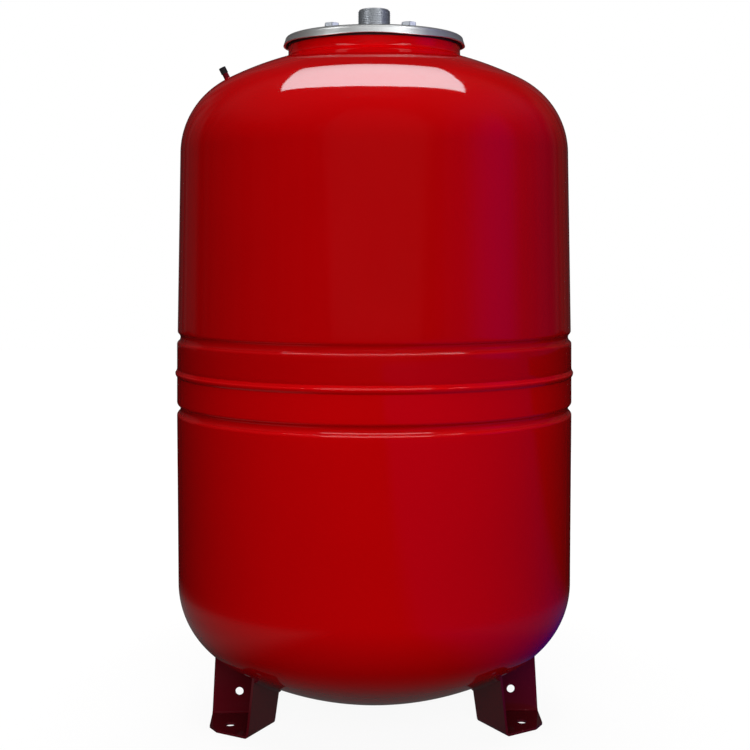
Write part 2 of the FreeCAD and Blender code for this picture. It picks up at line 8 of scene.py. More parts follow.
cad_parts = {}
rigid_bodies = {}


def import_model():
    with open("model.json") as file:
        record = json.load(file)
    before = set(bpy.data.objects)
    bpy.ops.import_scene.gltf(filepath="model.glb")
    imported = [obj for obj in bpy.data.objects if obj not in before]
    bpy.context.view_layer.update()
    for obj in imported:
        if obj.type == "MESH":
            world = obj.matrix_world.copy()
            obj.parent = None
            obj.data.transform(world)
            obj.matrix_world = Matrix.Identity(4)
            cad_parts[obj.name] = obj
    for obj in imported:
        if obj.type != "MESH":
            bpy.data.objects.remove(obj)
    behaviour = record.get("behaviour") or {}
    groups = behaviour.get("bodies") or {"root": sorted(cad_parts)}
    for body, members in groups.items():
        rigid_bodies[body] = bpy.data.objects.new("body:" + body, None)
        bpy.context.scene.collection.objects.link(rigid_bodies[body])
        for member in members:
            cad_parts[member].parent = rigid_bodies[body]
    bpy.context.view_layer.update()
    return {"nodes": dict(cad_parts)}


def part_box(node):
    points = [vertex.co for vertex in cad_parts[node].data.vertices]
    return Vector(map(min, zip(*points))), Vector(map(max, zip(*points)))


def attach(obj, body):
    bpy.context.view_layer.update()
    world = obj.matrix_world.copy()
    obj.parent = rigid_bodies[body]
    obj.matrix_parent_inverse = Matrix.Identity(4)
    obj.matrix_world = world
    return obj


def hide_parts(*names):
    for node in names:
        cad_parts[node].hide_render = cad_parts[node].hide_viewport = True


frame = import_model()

bl_info = {
    "name": "Expansion tank",
    "version": (1, 0, 0),
    "blender": (4, 5, 0),
    "location": "View3D > Sidebar > Tank",
    "description": "Dresses an expansion tank in painted steel, zinc and rubber, piece by piece",
    "category": "Object",
}

MM = 0.001
SHELL_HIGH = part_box("lower_shell")[1]
RING_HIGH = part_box("neck_ring")[1]
FLANGE_LOW, FLANGE_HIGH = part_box("flange_plate")
NIPPLE_LOW, NIPPLE_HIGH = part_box("connection_nipple")
BOLTS_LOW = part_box("flange_bolts")[0]


def length(name, description, default):
    return bpy.props.FloatProperty(name=name, description=description, default=default, unit="LENGTH",
                                   subtype="DISTANCE", precision=5)


def colour(name, description, default):
    return bpy.props.FloatVectorProperty(name=name, description=description, default=default, size=3,
                                         subtype="COLOR", min=0.0, max=1.0)


def share(name, description, default, high=1.0):
    return bpy.props.FloatProperty(name=name, description=description, default=default, min=0.0, max=high,
                                   subtype="FACTOR" if high == 1.0 else "NONE")


def count(name, description, default):
    return bpy.props.IntProperty(name=name, description=description, default=default, min=1)


def angle(name, description, default):
    return bpy.props.FloatProperty(name=name, description=description, default=math.radians(default),
                                   unit="ROTATION", subtype="ANGLE")


def power(name, description, default):
    return bpy.props.FloatProperty(name=name, description=description, default=default, min=0.0, unit="POWER")


class VesselSizes(bpy.types.PropertyGroup):
    """Sizes of the two pressed shells."""

    belly_radius: length("Belly radius", "Outside radius between the two rolled grooves", SHELL_HIGH.x)
    sheet: length("Sheet", "Thickness of both shells", 1.5 * MM)
    seam_height: length("Seam height", "Height of the belly seam above the floor", SHELL_HIGH.z)
    upper_wall: length("Upper wall", "Height of the wall from the seam to the upper dish", 280.5 * MM)
    lower_wall: length("Lower wall", "Height of the wall from the seam to the lower dish", 268.5 * MM)
    upper_step: length("Upper step", "The wall is this much narrower above the upper groove", 0.8 * MM)
    upper_taper: length("Upper taper", "And narrows by this up to the dish", 3.4 * MM)
    lower_taper: length("Lower taper", "The wall narrows by this down to the lower dish", 1.8 * MM)
    knuckle: length("Knuckle radius", "Radius where wall and dish meet", 105 * MM)
    upper_crown: length("Upper crown radius", "Radius of the upper dish", 420 * MM)
    lower_crown: length("Lower crown radius", "Radius of the lower dish", 380 * MM)
    groove_rise: length("Groove rise", "From the seam to the middle of each groove", 45.5 * MM)
    groove_depth: length("Groove depth", "Depth of the rolled grooves", 4.3 * MM)
    groove_floor: length("Groove floor radius", "Radius of a groove's floor", 6.5 * MM)
    groove_lip: length("Groove lip radius", "Radius of a groove's edges", 4.5 * MM)
    segments: count("Segments", "Faces round the shells", 288)


class WeldSizes(bpy.types.PropertyGroup):
    """Sizes of the weld beads."""

    proud: length("Bead height", "How far the belly bead stands out", 2.5 * MM)
    width: length("Bead width", "Width of the belly bead", 10.8 * MM)
    root: length("Root", "How deep the belly bead sits in the seam", 1.2 * MM)
    ripple: length("Ripple", "Depth of the ripples in the belly bead", 0.55 * MM)
    ripple_length: length("Ripple length", "Length of one ripple along the belly bead", 3.2 * MM)
    neck_leg: length("Neck fillet", "Leg of the fillet round the neck", 7 * MM)


class FlangeSizes(bpy.types.PropertyGroup):
    """Sizes of the neck, the flange plate, the nipple and the bolts."""

    neck_radius: length("Neck radius", "Outside radius of the neck", RING_HIGH.x)
    plate: length("Plate", "Thickness of the flange plate", 3 * MM)
    skirt_wave: length("Skirt wave", "The skirt's edge rises by this between two bolts", 1.3 * MM)
    pipe_radius: length("Pipe radius", "Plain pipe of the nipple", NIPPLE_HIGH.x)
    thread_radius: length("Thread radius", "Crests of the nipple's thread", 20.955 * MM)
    thread_pitch: length("Thread pitch", "From one crest of the nipple's thread to the next", 2.309 * MM)
    thread_depth: length("Thread depth", "From the crests to the roots", 0.75 * MM)
    bolt_count: count("Bolts", "Number of bolts in the flange", 6)
    bolt_start: angle("First bolt", "From the front towards +X", 25)
    bolt_circle: length("Bolt circle", "Radius of the bolt circle", 96 * MM)
    bolt_flats: length("Flats", "Width across a bolt head's flats", 17 * MM)
    bolt_head: length("Head height", "Height of a bolt head", 6.4 * MM)
    hex_turn: angle("Head turn", "Turn of each bolt head", 8)


class ValveSizes(bpy.types.PropertyGroup):
    """Sizes of the gas filling valve's stem and cap."""

    azimuth: angle("Azimuth", "From the front towards +X", -83.5)
    radius: length("Radius", "Distance of the stem's foot from the tank's axis", 190 * MM)
    stem: length("Stem radius", "Outside radius of the stem", 3.85 * MM)
    cap: length("Cap radius", "Outside radius of the cap", 4.5 * MM)
    ribs: count("Ribs", "Grip ribs round the cap", 18)
    rib_depth: length("Rib depth", "Depth of the grooves between the ribs", 0.35 * MM)


class PaintLook(bpy.types.PropertyGroup):
    """Colours and gloss of the finishes."""

    red: colour("Red", "Gloss paint on the tank", (0.47, 0.0002, 0.0012))
    # Painted shade: the feet's red is darkened to stand in for the shade that they sit in; the valve's stem takes
    # the same red
    foot: colour("Foot red with painted shade", "Darker red that paints the shade on the feet, also on the valve's stem", (0.085, 0.003, 0.007))
    worn_red: colour("Worn red", "Paint where it is rubbed", (0.62, 0.2, 0.2))
    gloss: share("Roughness", "Roughness of the gloss paint", 0.06)
    peel: share("Orange peel", "Strength of the paint's fine ripple", 0.05)
    zinc: colour("Zinc", "Galvanised flange plate", (0.72, 0.735, 0.72))
    bolt: colour("Bolt zinc", "Plated bolts", (0.66, 0.71, 0.74))
    steel: colour("Nipple steel", "Plated nipple", (0.6, 0.63, 0.66))
    rubber: colour("Rubber", "Membrane and seals", (0.012, 0.012, 0.013))
    plastic: colour("Cap plastic", "Valve cap", (0.012, 0.012, 0.014))
    brass: colour("Brass", "Valve core", (0.72, 0.55, 0.28))


class StudioLook(bpy.types.PropertyGroup):
    """Camera, lamps and background."""

    distance: length("Camera distance", "From the tank's axis", 1.735)
    height: length("Camera height", "Above the floor", 0.5845)
    side: angle("Camera side", "From the front towards +X", -1.5)
    lens: bpy.props.FloatProperty(name="Lens", description="Focal length", default=63.7, unit="CAMERA")
    shift_x: bpy.props.FloatProperty(name="Shift across", description="Camera shift", default=0.001)
    shift_y: bpy.props.FloatProperty(name="Shift up", description="Camera shift", default=-0.1669)
    front: share("Front light", "Strength of the wide, even light from the front", 2.5, 10.0)
    top: power("Top lamp", "Large lamp above the front", 23.0)
    back_left: power("Back left lamp", "Lamp behind the tank on the left", 12.0)
    back_right: power("Back right lamp", "Lamp behind the tank on the right", 12.0)
    behind: power("Back lamp", "Large lamp straight behind the tank", 20.0)
    metal: share("Piece lamps", "Brightness of the lamps that light only some pieces", 1.0, 10.0)
    softbox: share("Softbox", "Brightness of the ceiling softbox at its middle", 8.6, 40.0)
    floor: share("Floor", "How pale the floor is for the light that it throws back", 0.08)
    under: share("Under the tank", "Brightness of the floor under the tank in reflections", 0.08)
    # Below white near the tank: a painted pool of shade round it, on top of the real shadow
    near_white: share("Floor at the tank", "Brightness of the floor near the tank in the camera", 0.93)
    mirrored: share("Mirrored", "Brightness of the background in reflections", 0.02)


# Places of a Mix node's colour sockets, whose names it also gives to others
COLOUR_MIX_INPUTS = (0, 6, 7)
COLOUR_MIX_OUTPUT = 2


class Wiring:
    """Adds nodes to a tree and links them."""

    def __init__(self, tree):
        self.tree = tree
        tree.nodes.clear()

    def node(self, kind, sockets=(), **settings):
        made = self.tree.nodes.new(kind)
        for name, value in settings.items():
            setattr(made, name, value)
        for name, value in dict(sockets).items():
            self.put(made.inputs[name], value)
        return made

    def put(self, socket, value):
        if isinstance(value, bpy.types.NodeSocket):
            self.tree.links.new(value, socket)
        else:
            socket.default_value = value

    def math(self, operation, *values):
        made = self.node("ShaderNodeMath", operation=operation)
        for socket, value in zip(made.inputs, values):
            self.put(socket, value)
        return made.outputs[0]

    def add(self, a, b):
        return self.math("ADD", a, b)

    def minus(self, a, b):
        return self.math("SUBTRACT", a, b)

    def times(self, first, *others):
        for value in others:
            first = self.math("MULTIPLY", first, value)
        return first

    def radius(self, x, y):
        """Distance from the upright axis."""
        return self.math("SQRT", self.add(self.times(x, x), self.times(y, y)))

    def wave(self, phase):
        """0 where the phase is a whole number of turns and 1 half a turn on."""
        return self.minus(0.5, self.times(self.math("COSINE", phase), 0.5))

    def ramp(self, value, low, high, start=0.0, stop=1.0):
        """Smooth step of a value from low to high."""
        made = self.node("ShaderNodeMapRange", interpolation_type="SMOOTHSTEP")
        names = ("Value", "From Min", "From Max", "To Min", "To Max")
        for name, put in zip(names, (value, low, high, start, stop)):
            self.put(made.inputs[name], put)
        return made.outputs[0]

    def parts(self, vector):
        return self.node("ShaderNodeSeparateXYZ", {0: vector}).outputs

    def vector(self, x, y, z):
        return self.node("ShaderNodeCombineXYZ", {0: x, 1: y, 2: z}).outputs[0]

    def mix(self, factor, a, b):
        """Mixes two colours."""
        made = self.node("ShaderNodeMix", data_type="RGBA")
        for place, value in zip(COLOUR_MIX_INPUTS, (factor, a, b)):
            self.put(made.inputs[place], (*value, 1.0) if isinstance(value, tuple) else value)
        return made.outputs[COLOUR_MIX_OUTPUT]

    def noise(self, vector, scale, detail=2.0, roughness=0.5, seed=0.0):
        sockets = {"Vector": vector, "Scale": scale, "Detail": detail, "Roughness": roughness, "W": seed}
        return self.node("ShaderNodeTexNoise", sockets, noise_dimensions="4D").outputs[0]

    def rays(self):
        """Whether a ray is a mirrored one, and whether the camera sees it straight or through glass."""
        path = self.node("ShaderNodeLightPath").outputs
        straight = self.math("MAXIMUM", path["Is Camera Ray"], path["Is Transmission Ray"])
        return path["Is Glossy Ray"], straight


def placed(name, data):
    """A new object in the scene."""
    made = bpy.data.objects.new(name, data)
    bpy.context.scene.collection.objects.link(made)
    return made


# Sections, in metres: each is a list of points (radius, height)

SAME_POINT = 2e-5        # points nearer than this count as one
RIM_GAP = 0.15 * MM      # between the upper shell's rim and the inside of the lower shell
RIM_DEPTH = 14 * MM      # the rim reaches this far below the seam
RIM_SLOPE = 4 * MM       # and starts to turn in this far above it
HOLE_ROOM = 0.1 * MM     # round the valve's stem and the nipple in their holes


def arc(centre, radius, start, end, step):
    """Points of an arc; the angles are in radians and step in degrees."""
    pieces = max(2, math.ceil(abs(math.degrees(end - start)) / step))
    spots = []
    for index in range(pieces + 1):
        turn = start + (end - start) * index / pieces
        spots.append((centre[0] + radius * math.cos(turn), centre[1] + radius * math.sin(turn)))
    return spots


def joined(*runs):
    """One list of points, without doubles."""
    points = []
    for run in runs:
        for spot in run:
            if not points or math.dist(points[-1], spot) > SAME_POINT:
                points.append(spot)
    return points


def stretched(a, b, step):
    """Points along a straight run."""
    pieces = max(1, round(math.dist(a, b) / step))
    return [(a[0] + (b[0] - a[0]) * i / pieces, a[1] + (b[1] - a[1]) * i / pieces) for i in range(pieces + 1)]


class Dish:
    """A dished end: a knuckle that runs into a crown. side is 1 above and -1 below."""

    def __init__(self, radius, height, knuckle, crown, side):
        self.height = height
        self.knuckle = knuckle
        self.crown = crown
        self.side = side
        self.centre = radius - knuckle
        rise = math.sqrt((crown - knuckle) ** 2 - self.centre ** 2)
        self.crown_height = height - side * rise
        self.turn = math.atan2(rise, self.centre)

    def points(self, inset, end_radius):
        crown = self.crown - inset
        turn = self.side * self.turn
        stop = self.side * math.acos(end_radius / crown)
        knuckle = arc((self.centre, self.height), self.knuckle - inset, 0, turn, step=1.6)
        return joined(knuckle, arc((0, self.crown_height), crown, turn, stop, step=1.0))

    def height_at(self, radius):
        if radius <= self.crown * math.cos(self.turn):
            return self.crown_height + self.side * math.sqrt(self.crown ** 2 - radius ** 2)
        return self.height + self.side * math.sqrt(self.knuckle ** 2 - (radius - self.centre) ** 2)

    def tilt_at(self, radius):
        """Angle in radians between the outward normal and the axis."""
        if radius <= self.crown * math.cos(self.turn):
            return math.asin(radius / self.crown)
        return math.asin((radius - self.centre) / self.knuckle)


def upper_dish(sizes):
    radius = sizes.belly_radius - sizes.upper_step - sizes.upper_taper
    return Dish(radius, sizes.seam_height + sizes.upper_wall, sizes.knuckle, sizes.upper_crown, 1)


def lower_dish(sizes):
    radius = sizes.belly_radius - sizes.lower_taper
    return Dish(radius, sizes.seam_height - sizes.lower_wall, sizes.knuckle, sizes.lower_crown, -1)


def groove_half(sizes, wall):
    """Half the height of a groove, on the side where the wall has this radius."""
    both = sizes.groove_lip + sizes.groove_floor
    depth = wall - sizes.belly_radius + sizes.groove_depth
    return math.sqrt(both ** 2 - (both - depth) ** 2)


def groove(sizes, middle, below, above, inset):
    """A rolled groove from below to above, where below and above are the wall's radii."""
    lip = sizes.groove_lip
    floor = sizes.belly_radius - sizes.groove_depth + sizes.groove_floor
    halves = groove_half(sizes, below), groove_half(sizes, above)
    swings = math.atan2(halves[0], floor - below + lip), math.atan2(halves[1], floor - above + lip)
    return joined(
        arc((below - lip, middle - halves[0]), lip - inset, 0, swings[0], step=4),
        arc((floor, middle), sizes.groove_floor + inset, math.pi + swings[0], math.pi - swings[1], step=4),
        arc((above - lip, middle + halves[1]), lip - inset, -swings[1], 0, step=4))


def upper_side(sizes, inset, end_radius):
    """The upper shell's section from its rim to the neck hole."""
    belly = sizes.belly_radius - inset
    rim = belly - sizes.sheet - RIM_GAP
    shoulder = (belly, sizes.seam_height + RIM_SLOPE)
    middle = sizes.seam_height + sizes.groove_rise
    wall = sizes.belly_radius - sizes.upper_step
    dish = upper_dish(sizes)
    start = middle - groove_half(sizes, sizes.belly_radius)
    stop = middle + groove_half(sizes, wall)
    return joined([(rim, sizes.seam_height - RIM_DEPTH)],
                  stretched((rim, sizes.seam_height), shoulder, 1 * MM),
                  stretched(shoulder, (belly, start), 6 * MM),
                  groove(sizes, middle, sizes.belly_radius, wall, inset),
                  stretched((wall - inset, stop), (dish.centre + dish.knuckle - inset, dish.height), 8 * MM),
                  dish.points(inset, end_radius))


def lower_side(sizes, inset):
    """The lower shell's section from its rim down to the axis."""
    belly = sizes.belly_radius - inset
    middle = sizes.seam_height - sizes.groove_rise
    half = groove_half(sizes, sizes.belly_radius)
    dish = lower_dish(sizes)
    return joined(stretched((belly, sizes.seam_height), (belly, middle + half), 6 * MM),
                  groove(sizes, middle, sizes.belly_radius, sizes.belly_radius, inset)[::-1],
                  stretched((belly, middle - half), (dish.centre + dish.knuckle - inset, dish.height), 8 * MM),
                  dish.points(inset, 0.0))


# Geometry Nodes trees

RAIL_RADIUS = 0.1            # the circle that a section is swept along
MERGE_DISTANCE = 4e-6
GRAIN_PER_RIPPLE = 0.7       # how fine a bead's grain is against its ripples
WANDER_SCALE = 26.0          # noise scale of the slow change in a bead's ripples
WANDER = 30.0                # how far that change moves the ripples, in radians
RIPPLE_SHARE = 0.22          # share of the even ripples in a bead's relief
GRAIN_SHARE = 0.9            # and of the grain
THREAD_FADE = 0.8            # a thread's ends fade over this many pitches


def new_tree(name, inputs):
    """An empty Geometry Nodes tree with a geometry input, named inputs and a finish."""
    tree = bpy.data.node_groups.new(name, "GeometryNodeTree")
    face = tree.interface
    face.new_socket("Geometry", in_out="INPUT", socket_type="NodeSocketGeometry")
    for label, kind in inputs:
        face.new_socket(label, in_out="INPUT", socket_type="NodeSocket" + kind)
    face.new_socket("Finish", in_out="INPUT", socket_type="NodeSocketMaterial")
    face.new_socket("Geometry", in_out="OUTPUT", socket_type="NodeSocketGeometry")
    wires = Wiring(tree)
    return wires, wires.node("NodeGroupInput").outputs


def end_tree(wires, entry, shape):
    """Ends a tree in Realize Instances and Set Material."""
    real = wires.node("GeometryNodeRealizeInstances", {"Geometry": shape}).outputs[0]
    finished = wires.node("GeometryNodeSetMaterial", {"Geometry": real, "Material": entry["Finish"]})
    wires.node("NodeGroupOutput", {"Geometry": finished.outputs[0]})
    return wires.tree


def turned_shape(wires, entry):
    """Sweeps the section that the base mesh holds round the tank's axis."""
    section = wires.node("GeometryNodeMeshToCurve", {"Mesh": entry["Geometry"]}).outputs[0]
    rail = wires.node("GeometryNodeCurvePrimitiveCircle",
                      {"Resolution": entry["Segments"], "Radius": RAIL_RADIUS}).outputs[0]
    skin = wires.node("GeometryNodeCurveToMesh", {"Curve": rail, "Profile Curve": section}).outputs[0]
    closed = wires.node("GeometryNodeMergeByDistance", {"Geometry": skin, "Distance": MERGE_DISTANCE})
    return wires.node("GeometryNodeSetShadeSmooth", {"Geometry": closed.outputs[0]}).outputs[0]


def position(wires):
    return wires.node("GeometryNodeInputPosition").outputs[0]


def polar(wires):
    """Position as x, y, height, radius and angle."""
    x, y, z = wires.parts(position(wires))
    return x, y, z, wires.radius(x, y), wires.math("ARCTAN2", y, x)


def moved(wires, shape, x, y, z):
    """Moves the surface by an offset."""
    offset = wires.vector(x, y, z)
    return wires.node("GeometryNodeSetPosition", {"Geometry": shape, "Offset": offset}).outputs[0]


def pushed_out(wires, shape, x, y, radius, reach):
    """Moves the surface away from the axis by reach."""
    safe = wires.math("MAXIMUM", radius, 1e-6)
    return moved(wires, shape, wires.times(wires.math("DIVIDE", x, safe), reach),
                 wires.times(wires.math("DIVIDE", y, safe), reach), 0.0)


def turned_tree(name):
    wires, entry = new_tree(name, [("Segments", "Int")])
    return end_tree(wires, entry, turned_shape(wires, entry))


def bead_tree(name):
    """A turned weld bead with ripples and grain."""
    wires, entry = new_tree(name, [("Segments", "Int"), ("Middle radius", "Float"), ("Ripple depth", "Float"),
                                   ("Ripple length", "Float"), ("Seed", "Float")])
    shape = turned_shape(wires, entry)
    _, _, _, radius, turn = polar(wires)
    along = wires.math("DIVIDE", wires.times(turn, entry["Middle radius"]), entry["Ripple length"])
    place = position(wires)
    grain_scale = wires.math("DIVIDE", GRAIN_PER_RIPPLE, entry["Ripple length"])
    grain = wires.noise(place, grain_scale, roughness=0.6, seed=entry["Seed"])
    slow = wires.noise(place, WANDER_SCALE, detail=1.0, seed=wires.add(entry["Seed"], 3.0))
    ripple = wires.math("SINE", wires.add(wires.times(along, math.tau), wires.times(slow, WANDER)))
    relief = wires.add(wires.times(wires.minus(1.0, ripple), RIPPLE_SHARE), wires.times(grain, GRAIN_SHARE))
    outside = wires.math("GREATER_THAN", radius, entry["Middle radius"])
    depth = wires.times(relief, entry["Ripple depth"], -1.0, outside)
    nx, ny, nz = wires.parts(wires.node("GeometryNodeInputNormal").outputs[0])
    shape = moved(wires, shape, wires.times(nx, depth), wires.times(ny, depth), wires.times(nz, depth))
    return end_tree(wires, entry, shape)


def thread_tree(name):
    """A turned pipe with a screw thread cut into its outside."""
    wires, entry = new_tree(name, [("Segments", "Int"), ("Pitch", "Float"), ("Depth", "Float"),
                                   ("Thread start", "Float"), ("Thread end", "Float"), ("Root radius", "Float")])
    shape = turned_shape(wires, entry)
    x, y, z, radius, turn = polar(wires)
    start, end = entry["Thread start"], entry["Thread end"]
    turns = wires.math("DIVIDE", wires.minus(z, start), entry["Pitch"])
    cut = wires.wave(wires.minus(wires.times(turns, math.tau), turn))
    fade = wires.times(entry["Pitch"], THREAD_FADE)
    inside = wires.times(wires.ramp(z, start, wires.add(start, fade)), wires.ramp(z, end, wires.minus(end, fade)))
    outside = wires.math("GREATER_THAN", radius, entry["Root radius"])
    reach = wires.times(cut, inside, outside, wires.times(entry["Depth"], -1.0))
    return end_tree(wires, entry, pushed_out(wires, shape, x, y, radius, reach))


def rib_tree(name):
    """A turned cap with grip ribs, set on a tilted axis."""
    wires, entry = new_tree(name, [("Segments", "Int"), ("Ribs", "Float"), ("Rib depth", "Float"),
                                   ("Rib radius", "Float"), ("Foot", "Vector"), ("Turn", "Rotation")])
    shape = turned_shape(wires, entry)
    x, y, _, radius, turn = polar(wires)
    cut = wires.wave(wires.times(turn, entry["Ribs"]))
    outside = wires.math("GREATER_THAN", radius, entry["Rib radius"])
    reach = wires.times(cut, outside, wires.times(entry["Rib depth"], -1.0))
    shape = pushed_out(wires, shape, x, y, radius, reach)
    shape = wires.node("GeometryNodeTransform", {"Geometry": shape, "Translation": entry["Foot"],
                                                 "Rotation": entry["Turn"]}).outputs[0]
    return end_tree(wires, entry, shape)


def skirt_tree(name):
    """A turned plate whose skirt edge rises between the bolts."""
    wires, entry = new_tree(name, [("Segments", "Int"), ("Waves", "Float"), ("First wave", "Float"),
                                   ("Wave height", "Float"), ("Skirt top", "Float"), ("Skirt edge", "Float")])
    shape = turned_shape(wires, entry)
    _, _, z, _, turn = polar(wires)
    wave = wires.wave(wires.times(wires.minus(turn, entry["First wave"]), entry["Waves"]))
    low_down = wires.ramp(z, entry["Skirt top"], entry["Skirt edge"])
    shape = moved(wires, shape, 0.0, 0.0, wires.times(wave, low_down, entry["Wave height"]))
    return end_tree(wires, entry, shape)


def circle_tree(name):
    """Copies of the base mesh on a circle round the tank's axis."""
    wires, entry = new_tree(name, [("Count", "Int"), ("Circle radius", "Float"), ("First", "Float")])
    circle = wires.node("GeometryNodeMeshCircle", {"Vertices": entry["Count"], "Radius": entry["Circle radius"]})
    places = wires.node("GeometryNodeTransform", {"Geometry": circle.outputs[0],
                                                  "Rotation": wires.vector(0.0, 0.0, entry["First"])})
    index = wires.node("GeometryNodeInputIndex").outputs[0]
    turn = wires.add(wires.math("DIVIDE", wires.times(index, math.tau), entry["Count"]), entry["First"])
    copies = wires.node("GeometryNodeInstanceOnPoints",
                        {"Points": places.outputs[0], "Instance": entry["Geometry"],
                         "Rotation": wires.vector(0.0, 0.0, turn)})
    return end_tree(wires, entry, copies.outputs[0])


TREES = {"Turned piece": turned_tree, "Rippled bead": bead_tree, "Threaded pipe": thread_tree,
         "Ribbed cap": rib_tree, "Wavy skirt": skirt_tree, "Bolt circle": circle_tree}


def section_mesh(points, closed=True):
    """A base mesh that holds a section for the turned trees."""
    mesh = bpy.data.meshes.new("section")
    spots = [(radius - RAIL_RADIUS, -height, 0.0) for radius, height in points]
    edges = [(i, i + 1) for i in range(len(spots) - 1)]
    if closed:
        edges.append((len(spots) - 1, 0))
    mesh.from_pydata(spots, edges, [])
    return mesh


def grown(name, base, tree_name, finish_name, crease=32.0, **inputs):
    """Runs a tree on a base mesh and keeps the result as a plain mesh."""
    tree = bpy.data.node_groups.get(tree_name) or TREES[tree_name](tree_name)
    piece = placed(name, base)
    modifier = piece.modifiers.new("Build", "NODES")
    modifier.node_group = tree
    values = {key.replace("_", " "): value for key, value in inputs.items()}
    values["finish"] = finish(finish_name)
    for item in tree.interface.items_tree:
        if item.item_type == "SOCKET" and item.in_out == "INPUT" and item.name.lower() in values:
            modifier[item.identifier] = values[item.name.lower()]
    return plain(piece, crease)


def plain(piece, crease=32.0):
    """Turns an object's evaluated shape into its own mesh; edges over crease degrees stay sharp."""
    graph = bpy.context.evaluated_depsgraph_get()
    mesh = bpy.data.meshes.new_from_object(piece.evaluated_get(graph), preserve_all_data_layers=True,
                                           depsgraph=graph)
    if not mesh.polygons:
        raise RuntimeError(f"{piece.name} came out empty")
    piece.modifiers.clear()
    piece.data = mesh
    mesh.name = piece.name
    mesh.set_sharp_from_angle(angle=math.radians(crease))
    return piece


def cut_away(piece, cutter):
    """Takes a cutter's shape out of a piece."""
    modifier = piece.modifiers.new("Cut", "BOOLEAN")
    modifier.operation = "DIFFERENCE"
    modifier.solver = "EXACT"
    modifier.object = cutter
    plain(piece)
    bpy.data.objects.remove(cutter)
    return piece


def rod(name, radius, low, high, place):
    """A plain rod, used only to cut holes."""
    shape = bmesh.new()
    bmesh.ops.create_cone(shape, cap_ends=True, segments=48, radius1=radius, radius2=radius, depth=high - low,
                          matrix=place @ Matrix.Translation((0, 0, (low + high) / 2)))
    mesh = bpy.data.meshes.new(name)
    shape.to_mesh(mesh)
    shape.free()
    return placed(name, mesh)


def valve_place(vessel, valve):
    """The matrix that carries a piece built along +Z, from the dish up, to the valve."""
    dish = upper_dish(vessel)
    foot = Matrix.Translation((0, -valve.radius, dish.height_at(valve.radius)))
    return Matrix.Rotation(valve.azimuth, 4, "Z") @ foot @ Matrix.Rotation(dish.tilt_at(valve.radius), 4, "X")


def first_bolt(sizes):
    """Angle of the first bolt, from +X."""
    return sizes.bolt_start - math.pi / 2


# Finishes

def new_material(name):
    material = bpy.data.materials.new(name)
    material.use_nodes = True
    wires = Wiring(material.node_tree)
    place = wires.node("ShaderNodeTexCoord").outputs["Object"]
    return material, wires, place


def end_material(wires, sockets, height, strength, distance):
    """Ends a material in its shader, with a bump from height."""
    bump = wires.node("ShaderNodeBump", {"Strength": strength, "Distance": distance, "Height": height})
    shader = wires.node("ShaderNodeBsdfPrincipled", {**sockets, "Normal": bump.outputs[0]})
    wires.node("ShaderNodeOutputMaterial", {"Surface": shader.outputs[0]})


def toned(rgb, factor):
    """A darker or lighter tone of a colour."""
    return tuple(min(1.0, factor * c) for c in rgb)


def paint(name, red, sheen, worn=0.0):
    """Gloss paint with a fine orange peel; sheen is its IOR, and worn adds rubbed spots."""
    look = bpy.context.scene.tank_paint
    material, wires, place = new_material(name)
    cloud = wires.noise(place, 7.0, seed=1.0)
    tone = wires.mix(wires.ramp(cloud, 0.35, 0.65), toned(red, 0.985), toned(red, 1.015))
    sockets = {"Base Color": tone, "Roughness": look.gloss, "IOR": sheen}
    if worn:
        spots = wires.noise(place, 160.0, detail=3.0, roughness=0.6, seed=5.0)
        rub = wires.times(wires.ramp(spots, 0.7, 0.76), worn)
        sockets["Base Color"] = wires.mix(rub, tone, tuple(look.worn_red))
        sockets["Roughness"] = wires.add(look.gloss, wires.times(rub, 0.4))
    peel = wires.noise(place, 320.0, detail=1.0, roughness=0.4, seed=2.0)
    sag = wires.noise(place, 16.0, detail=1.0, roughness=0.4, seed=3.0)
    end_material(wires, sockets, wires.add(wires.times(peel, 0.03), sag), look.peel, 1 * MM)
    return material


def zinc_plate():
    """Galvanised sheet with spangle and faint stains."""
    base = tuple(bpy.context.scene.tank_paint.zinc)
    material, wires, place = new_material("zinc_plate")
    spangle = wires.node("ShaderNodeTexVoronoi", {"Vector": place, "Scale": 95.0, "Randomness": 1.0}, feature="F1")
    grain = wires.node("ShaderNodeSeparateColor", {0: spangle.outputs["Color"]}).outputs[0]
    stain = wires.noise(place, 30.0, detail=3.0, roughness=0.6, seed=4.0)
    tone = wires.mix(wires.add(wires.times(grain, 0.35), wires.times(stain, 0.5)), toned(base, 0.8), base)
    rough = wires.add(0.27, wires.times(grain, 0.08))
    height = wires.add(wires.times(grain, 0.4), wires.noise(place, 240.0, roughness=0.6, seed=6.0))
    end_material(wires, {"Base Color": tone, "Metallic": 0.95, "Roughness": rough}, height, 0.12, 0.2 * MM)
    return material


def zinc_bolts():
    """Bright plating with a faint cloud."""
    base = tuple(bpy.context.scene.tank_paint.bolt)
    material, wires, place = new_material("zinc_bolts")
    cloud = wires.noise(place, 140.0, detail=3.0, roughness=0.6, seed=7.0)
    tone = wires.mix(wires.ramp(cloud, 0.3, 0.7), toned(base, 0.82), base)
    rough = wires.ramp(cloud, 0.2, 0.8, 0.1, 0.16)
    end_material(wires, {"Base Color": tone, "Metallic": 1.0, "Roughness": rough}, cloud, 0.1, 0.2 * MM)
    return material


def nipple_steel():
    """Plated steel with fine turning lines round the pipe."""
    base = tuple(bpy.context.scene.tank_paint.steel)
    material, wires, place = new_material("nipple_steel")
    height = wires.parts(place)[2]
    lines = wires.noise(wires.vector(0.0, 0.0, height), 2600.0, roughness=0.7, seed=8.0)
    cloud = wires.noise(place, 90.0, detail=3.0, roughness=0.6, seed=9.0)
    tone = wires.mix(cloud, toned(base, 0.75), base)
    rough = wires.ramp(cloud, 0.3, 0.7, 0.2, 0.3)
    end_material(wires, {"Base Color": tone, "Metallic": 0.9, "Roughness": rough}, lines, 0.1, 0.1 * MM)
    return material


